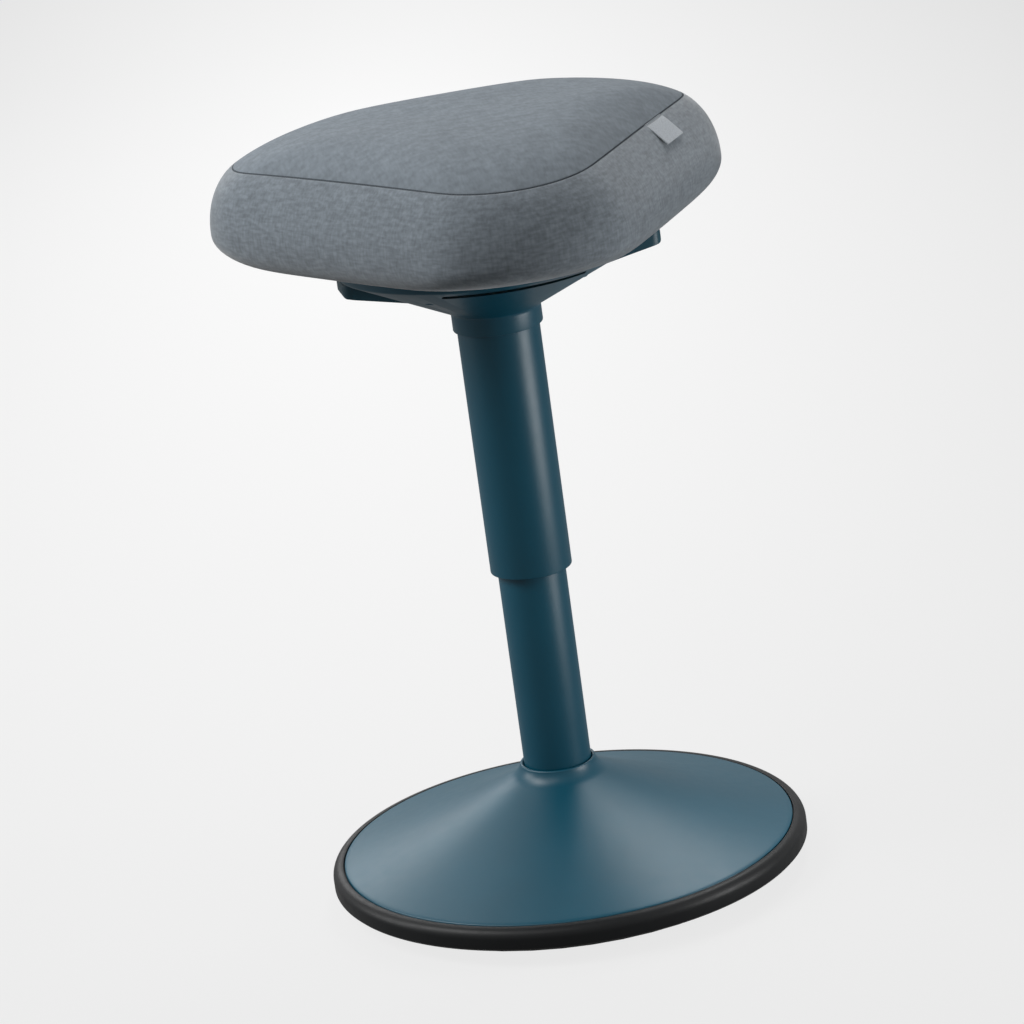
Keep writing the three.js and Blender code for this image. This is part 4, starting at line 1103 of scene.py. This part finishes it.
def build_tag(materials):
    """A folded tape that comes out of the seam, bends over and hangs on the side band."""
    angles = [math.pi * k / TAG_SEARCH_STEPS for k in range(TAG_SEARCH_STEPS)]
    seam = [Vector(high_point(angle, 1)) for angle in angles]
    place = TAG_PLACE_SHARE * max(point.x for point in seam)
    index = next(k for k, point in enumerate(seam) if point.x >= place)
    angle, start = angles[index], seam[index]
    along = (seam[index + 1] - start).normalized()
    path = [Vector(high_point(angle, 1 - TAG_REACH_SHARE * k / TAG_ROWS)) for k in range(TAG_ROWS + 1)]
    out = (path[-1] - start).cross(along).normalized()
    points = []
    travel = 0
    for row, point in enumerate(path):
        travel += (point - path[row - 1]).length if row else 0
        share = travel / (TAG_SEAM_GAP + TAG_LENGTH)
        lift = TAG_LIFT * math.sin(math.pi / 2 * min(share / TAG_FOLD_SHARE, 1)) + TAG_FLARE * share ** 2
        for column in range(TAG_COLUMNS + 1):
            across = 2 * column / TAG_COLUMNS - 1
            sideways = along * TAG_WIDTH / 2 * across
            points.append(point + sideways + out * (lift + TAG_CURL * share * across ** 2))
        if share > 1:
            break
    rows = len(points) // (TAG_COLUMNS + 1) - 1
    faces = []
    for row in range(rows):
        for column in range(TAG_COLUMNS):
            first = row * (TAG_COLUMNS + 1) + column
            faces.append((first, first + 1, first + TAG_COLUMNS + 2, first + TAG_COLUMNS + 1))
    tag = new_object("seam_tape", mesh_from("seam_tape", points, faces))
    thick = tag.modifiers.new("thick", "SOLIDIFY")
    thick.thickness = mm(TAG_THICKNESS)
    thick.offset = 0
    applied(tag)
    outward(tag.data)
    bevelled(tag, TAG_BEVEL, segments=2)
    put(tag, materials, "tag_fabric", "seat", "seam_tag")


# Stage


def add_light(name, azimuth, elevation, distance, width, height, radiance):
    """A soft box of a given radiance, aimed at the stool; its azimuth is towards the camera's right."""
    turn = math.radians(azimuth - CAMERA_AZIMUTH)
    rise = math.radians(elevation)
    direction = Vector((math.sin(turn) * math.cos(rise), -math.cos(turn) * math.cos(rise), math.sin(rise)))
    data = bpy.data.lights.new(name, "AREA")
    data.shape = "RECTANGLE"
    data.size = width
    data.size_y = height
    data.energy = math.pi * width * height * radiance
    lamp = bpy.data.objects.new(name, data)
    lamp.location = Vector(LIGHT_AIM) + distance * direction
    lamp.rotation_euler = direction.to_track_quat("Z", "Y").to_euler()
    lamp.visible_camera = False
    bpy.context.scene.collection.objects.link(lamp)


def calculated(tree, operation, first, second):
    """The output of a math node; first is an output, and second an output or a number."""
    node = tree.nodes.new("ShaderNodeMath")
    node.operation = operation
    tree.links.new(first, node.inputs[0])
    if isinstance(second, float):
        node.inputs[1].default_value = second
    else:
        tree.links.new(second, node.inputs[1])
    return node.outputs[0]


def seen_directly(tree, glossy_share):
    """1 for camera and transmission rays, a share of 1 for glossy ones, and 0 for the light on the object."""
    rays = tree.nodes.new("ShaderNodeLightPath").outputs
    glossy = calculated(tree, "MULTIPLY", rays["Is Glossy Ray"], glossy_share)
    seen = calculated(tree, "MAXIMUM", rays["Is Camera Ray"], glossy)
    return calculated(tree, "MAXIMUM", seen, rays["Is Transmission Ray"])


def add_world():
    world = bpy.data.worlds.new("studio")
    bpy.context.scene.world = world
    world.use_nodes = True
    tree = world.node_tree
    background = tree.nodes["Background"]
    background.inputs["Color"].default_value = (1, 1, 1, 1)
    strength = tree.nodes.new("ShaderNodeMapRange")
    strength.inputs["To Min"].default_value = WORLD_STRENGTH
    strength.inputs["To Max"].default_value = BACKGROUND_LEVEL
    tree.links.new(seen_directly(tree, WORLD_GLOSSY_SHARE), strength.inputs["Value"])
    tree.links.new(strength.outputs["Result"], background.inputs["Strength"])


def floor_glow(material):
    """The floor's own light where it is seen, which fades outwards from a centre."""
    links = material.node_tree.links
    coordinates = add_node(material, "ShaderNodeTexCoord")
    place = add_node(material, "ShaderNodeMapping")
    place.vector_type = "TEXTURE"
    place.inputs["Rotation"].default_value = (0, 0, math.radians(-CAMERA_AZIMUTH))
    place.inputs["Location"].default_value = (*FLOOR_GLOW_CENTRE, 0)
    place.inputs["Scale"].default_value = (*FLOOR_GLOW_REACH, 1)
    links.new(coordinates.outputs["Object"], place.inputs["Vector"])
    distance = add_node(material, "ShaderNodeVectorMath")
    distance.operation = "LENGTH"
    links.new(place.outputs["Vector"], distance.inputs[0])
    inner, outer = FLOOR_GLOW_LEVELS
    fade = add_node(material, "ShaderNodeMapRange", To_Min=inner, To_Max=outer)
    links.new(distance.outputs["Value"], fade.inputs["Value"])
    glow = add_node(material, "ShaderNodeEmission")
    links.new(fade.outputs["Result"], glow.inputs["Strength"])
    return glow.outputs["Emission"]


def add_floor():
    """A pale floor: mostly its own glow where it is seen, and plain and dim for the light that it returns."""
    corners = [(-1, -1), (1, -1), (1, 1), (-1, 1)]
    mesh = bpy.data.meshes.new("floor")
    mesh.from_pydata([(x * FLOOR_HALF_SIZE, y * FLOOR_HALF_SIZE, 0) for x, y in corners], [], [(0, 1, 2, 3)])
    floor = new_object("floor", mesh)
    material, shader = new_material("pale_floor", (FLOOR_BOUNCE,) * 3, FLOOR_ROUGHNESS)
    shader.inputs["Specular IOR Level"].default_value = 0.0
    tree = material.node_tree
    glow = floor_glow(material)
    seen = seen_directly(tree, FLOOR_GLOSSY_SHARE)
    tone = add_node(material, "ShaderNodeMapRange", To_Min=FLOOR_BOUNCE, To_Max=FLOOR_TONE)
    tree.links.new(seen, tone.inputs["Value"])
    tree.links.new(tone.outputs["Result"], shader.inputs["Base Color"])
    mix = add_node(material, "ShaderNodeMixShader")
    tree.links.new(calculated(tree, "MULTIPLY", seen, FLOOR_GLOW_SHARE), mix.inputs["Fac"])
    tree.links.new(shader.outputs["BSDF"], mix.inputs[1])
    tree.links.new(glow, mix.inputs[2])
    tree.links.new(mix.outputs["Shader"], tree.nodes["Material Output"].inputs["Surface"])
    mesh.materials.append(material)


def add_stage():
    scene = bpy.context.scene
    scene.view_settings.view_transform = "Standard"
    add_world()
    add_floor()
    for light in LIGHTS:
        add_light(*light)


add_camera()
materials = make_materials()
dress_cad_nodes(materials)
build_foot_and_column(materials)
build_head(materials)
build_paddle("left_lever", "left_paddle", "left_paddle", HEAD_RADIUS - LEFT_TIP_SETBACK, -1, materials)
build_paddle("right_lever", "right_paddle", "right_paddle", HEAD_RADIUS + RIGHT_TIP_REACH, 1, materials)
build_cushion(materials)
build_tag(materials)
add_stage()
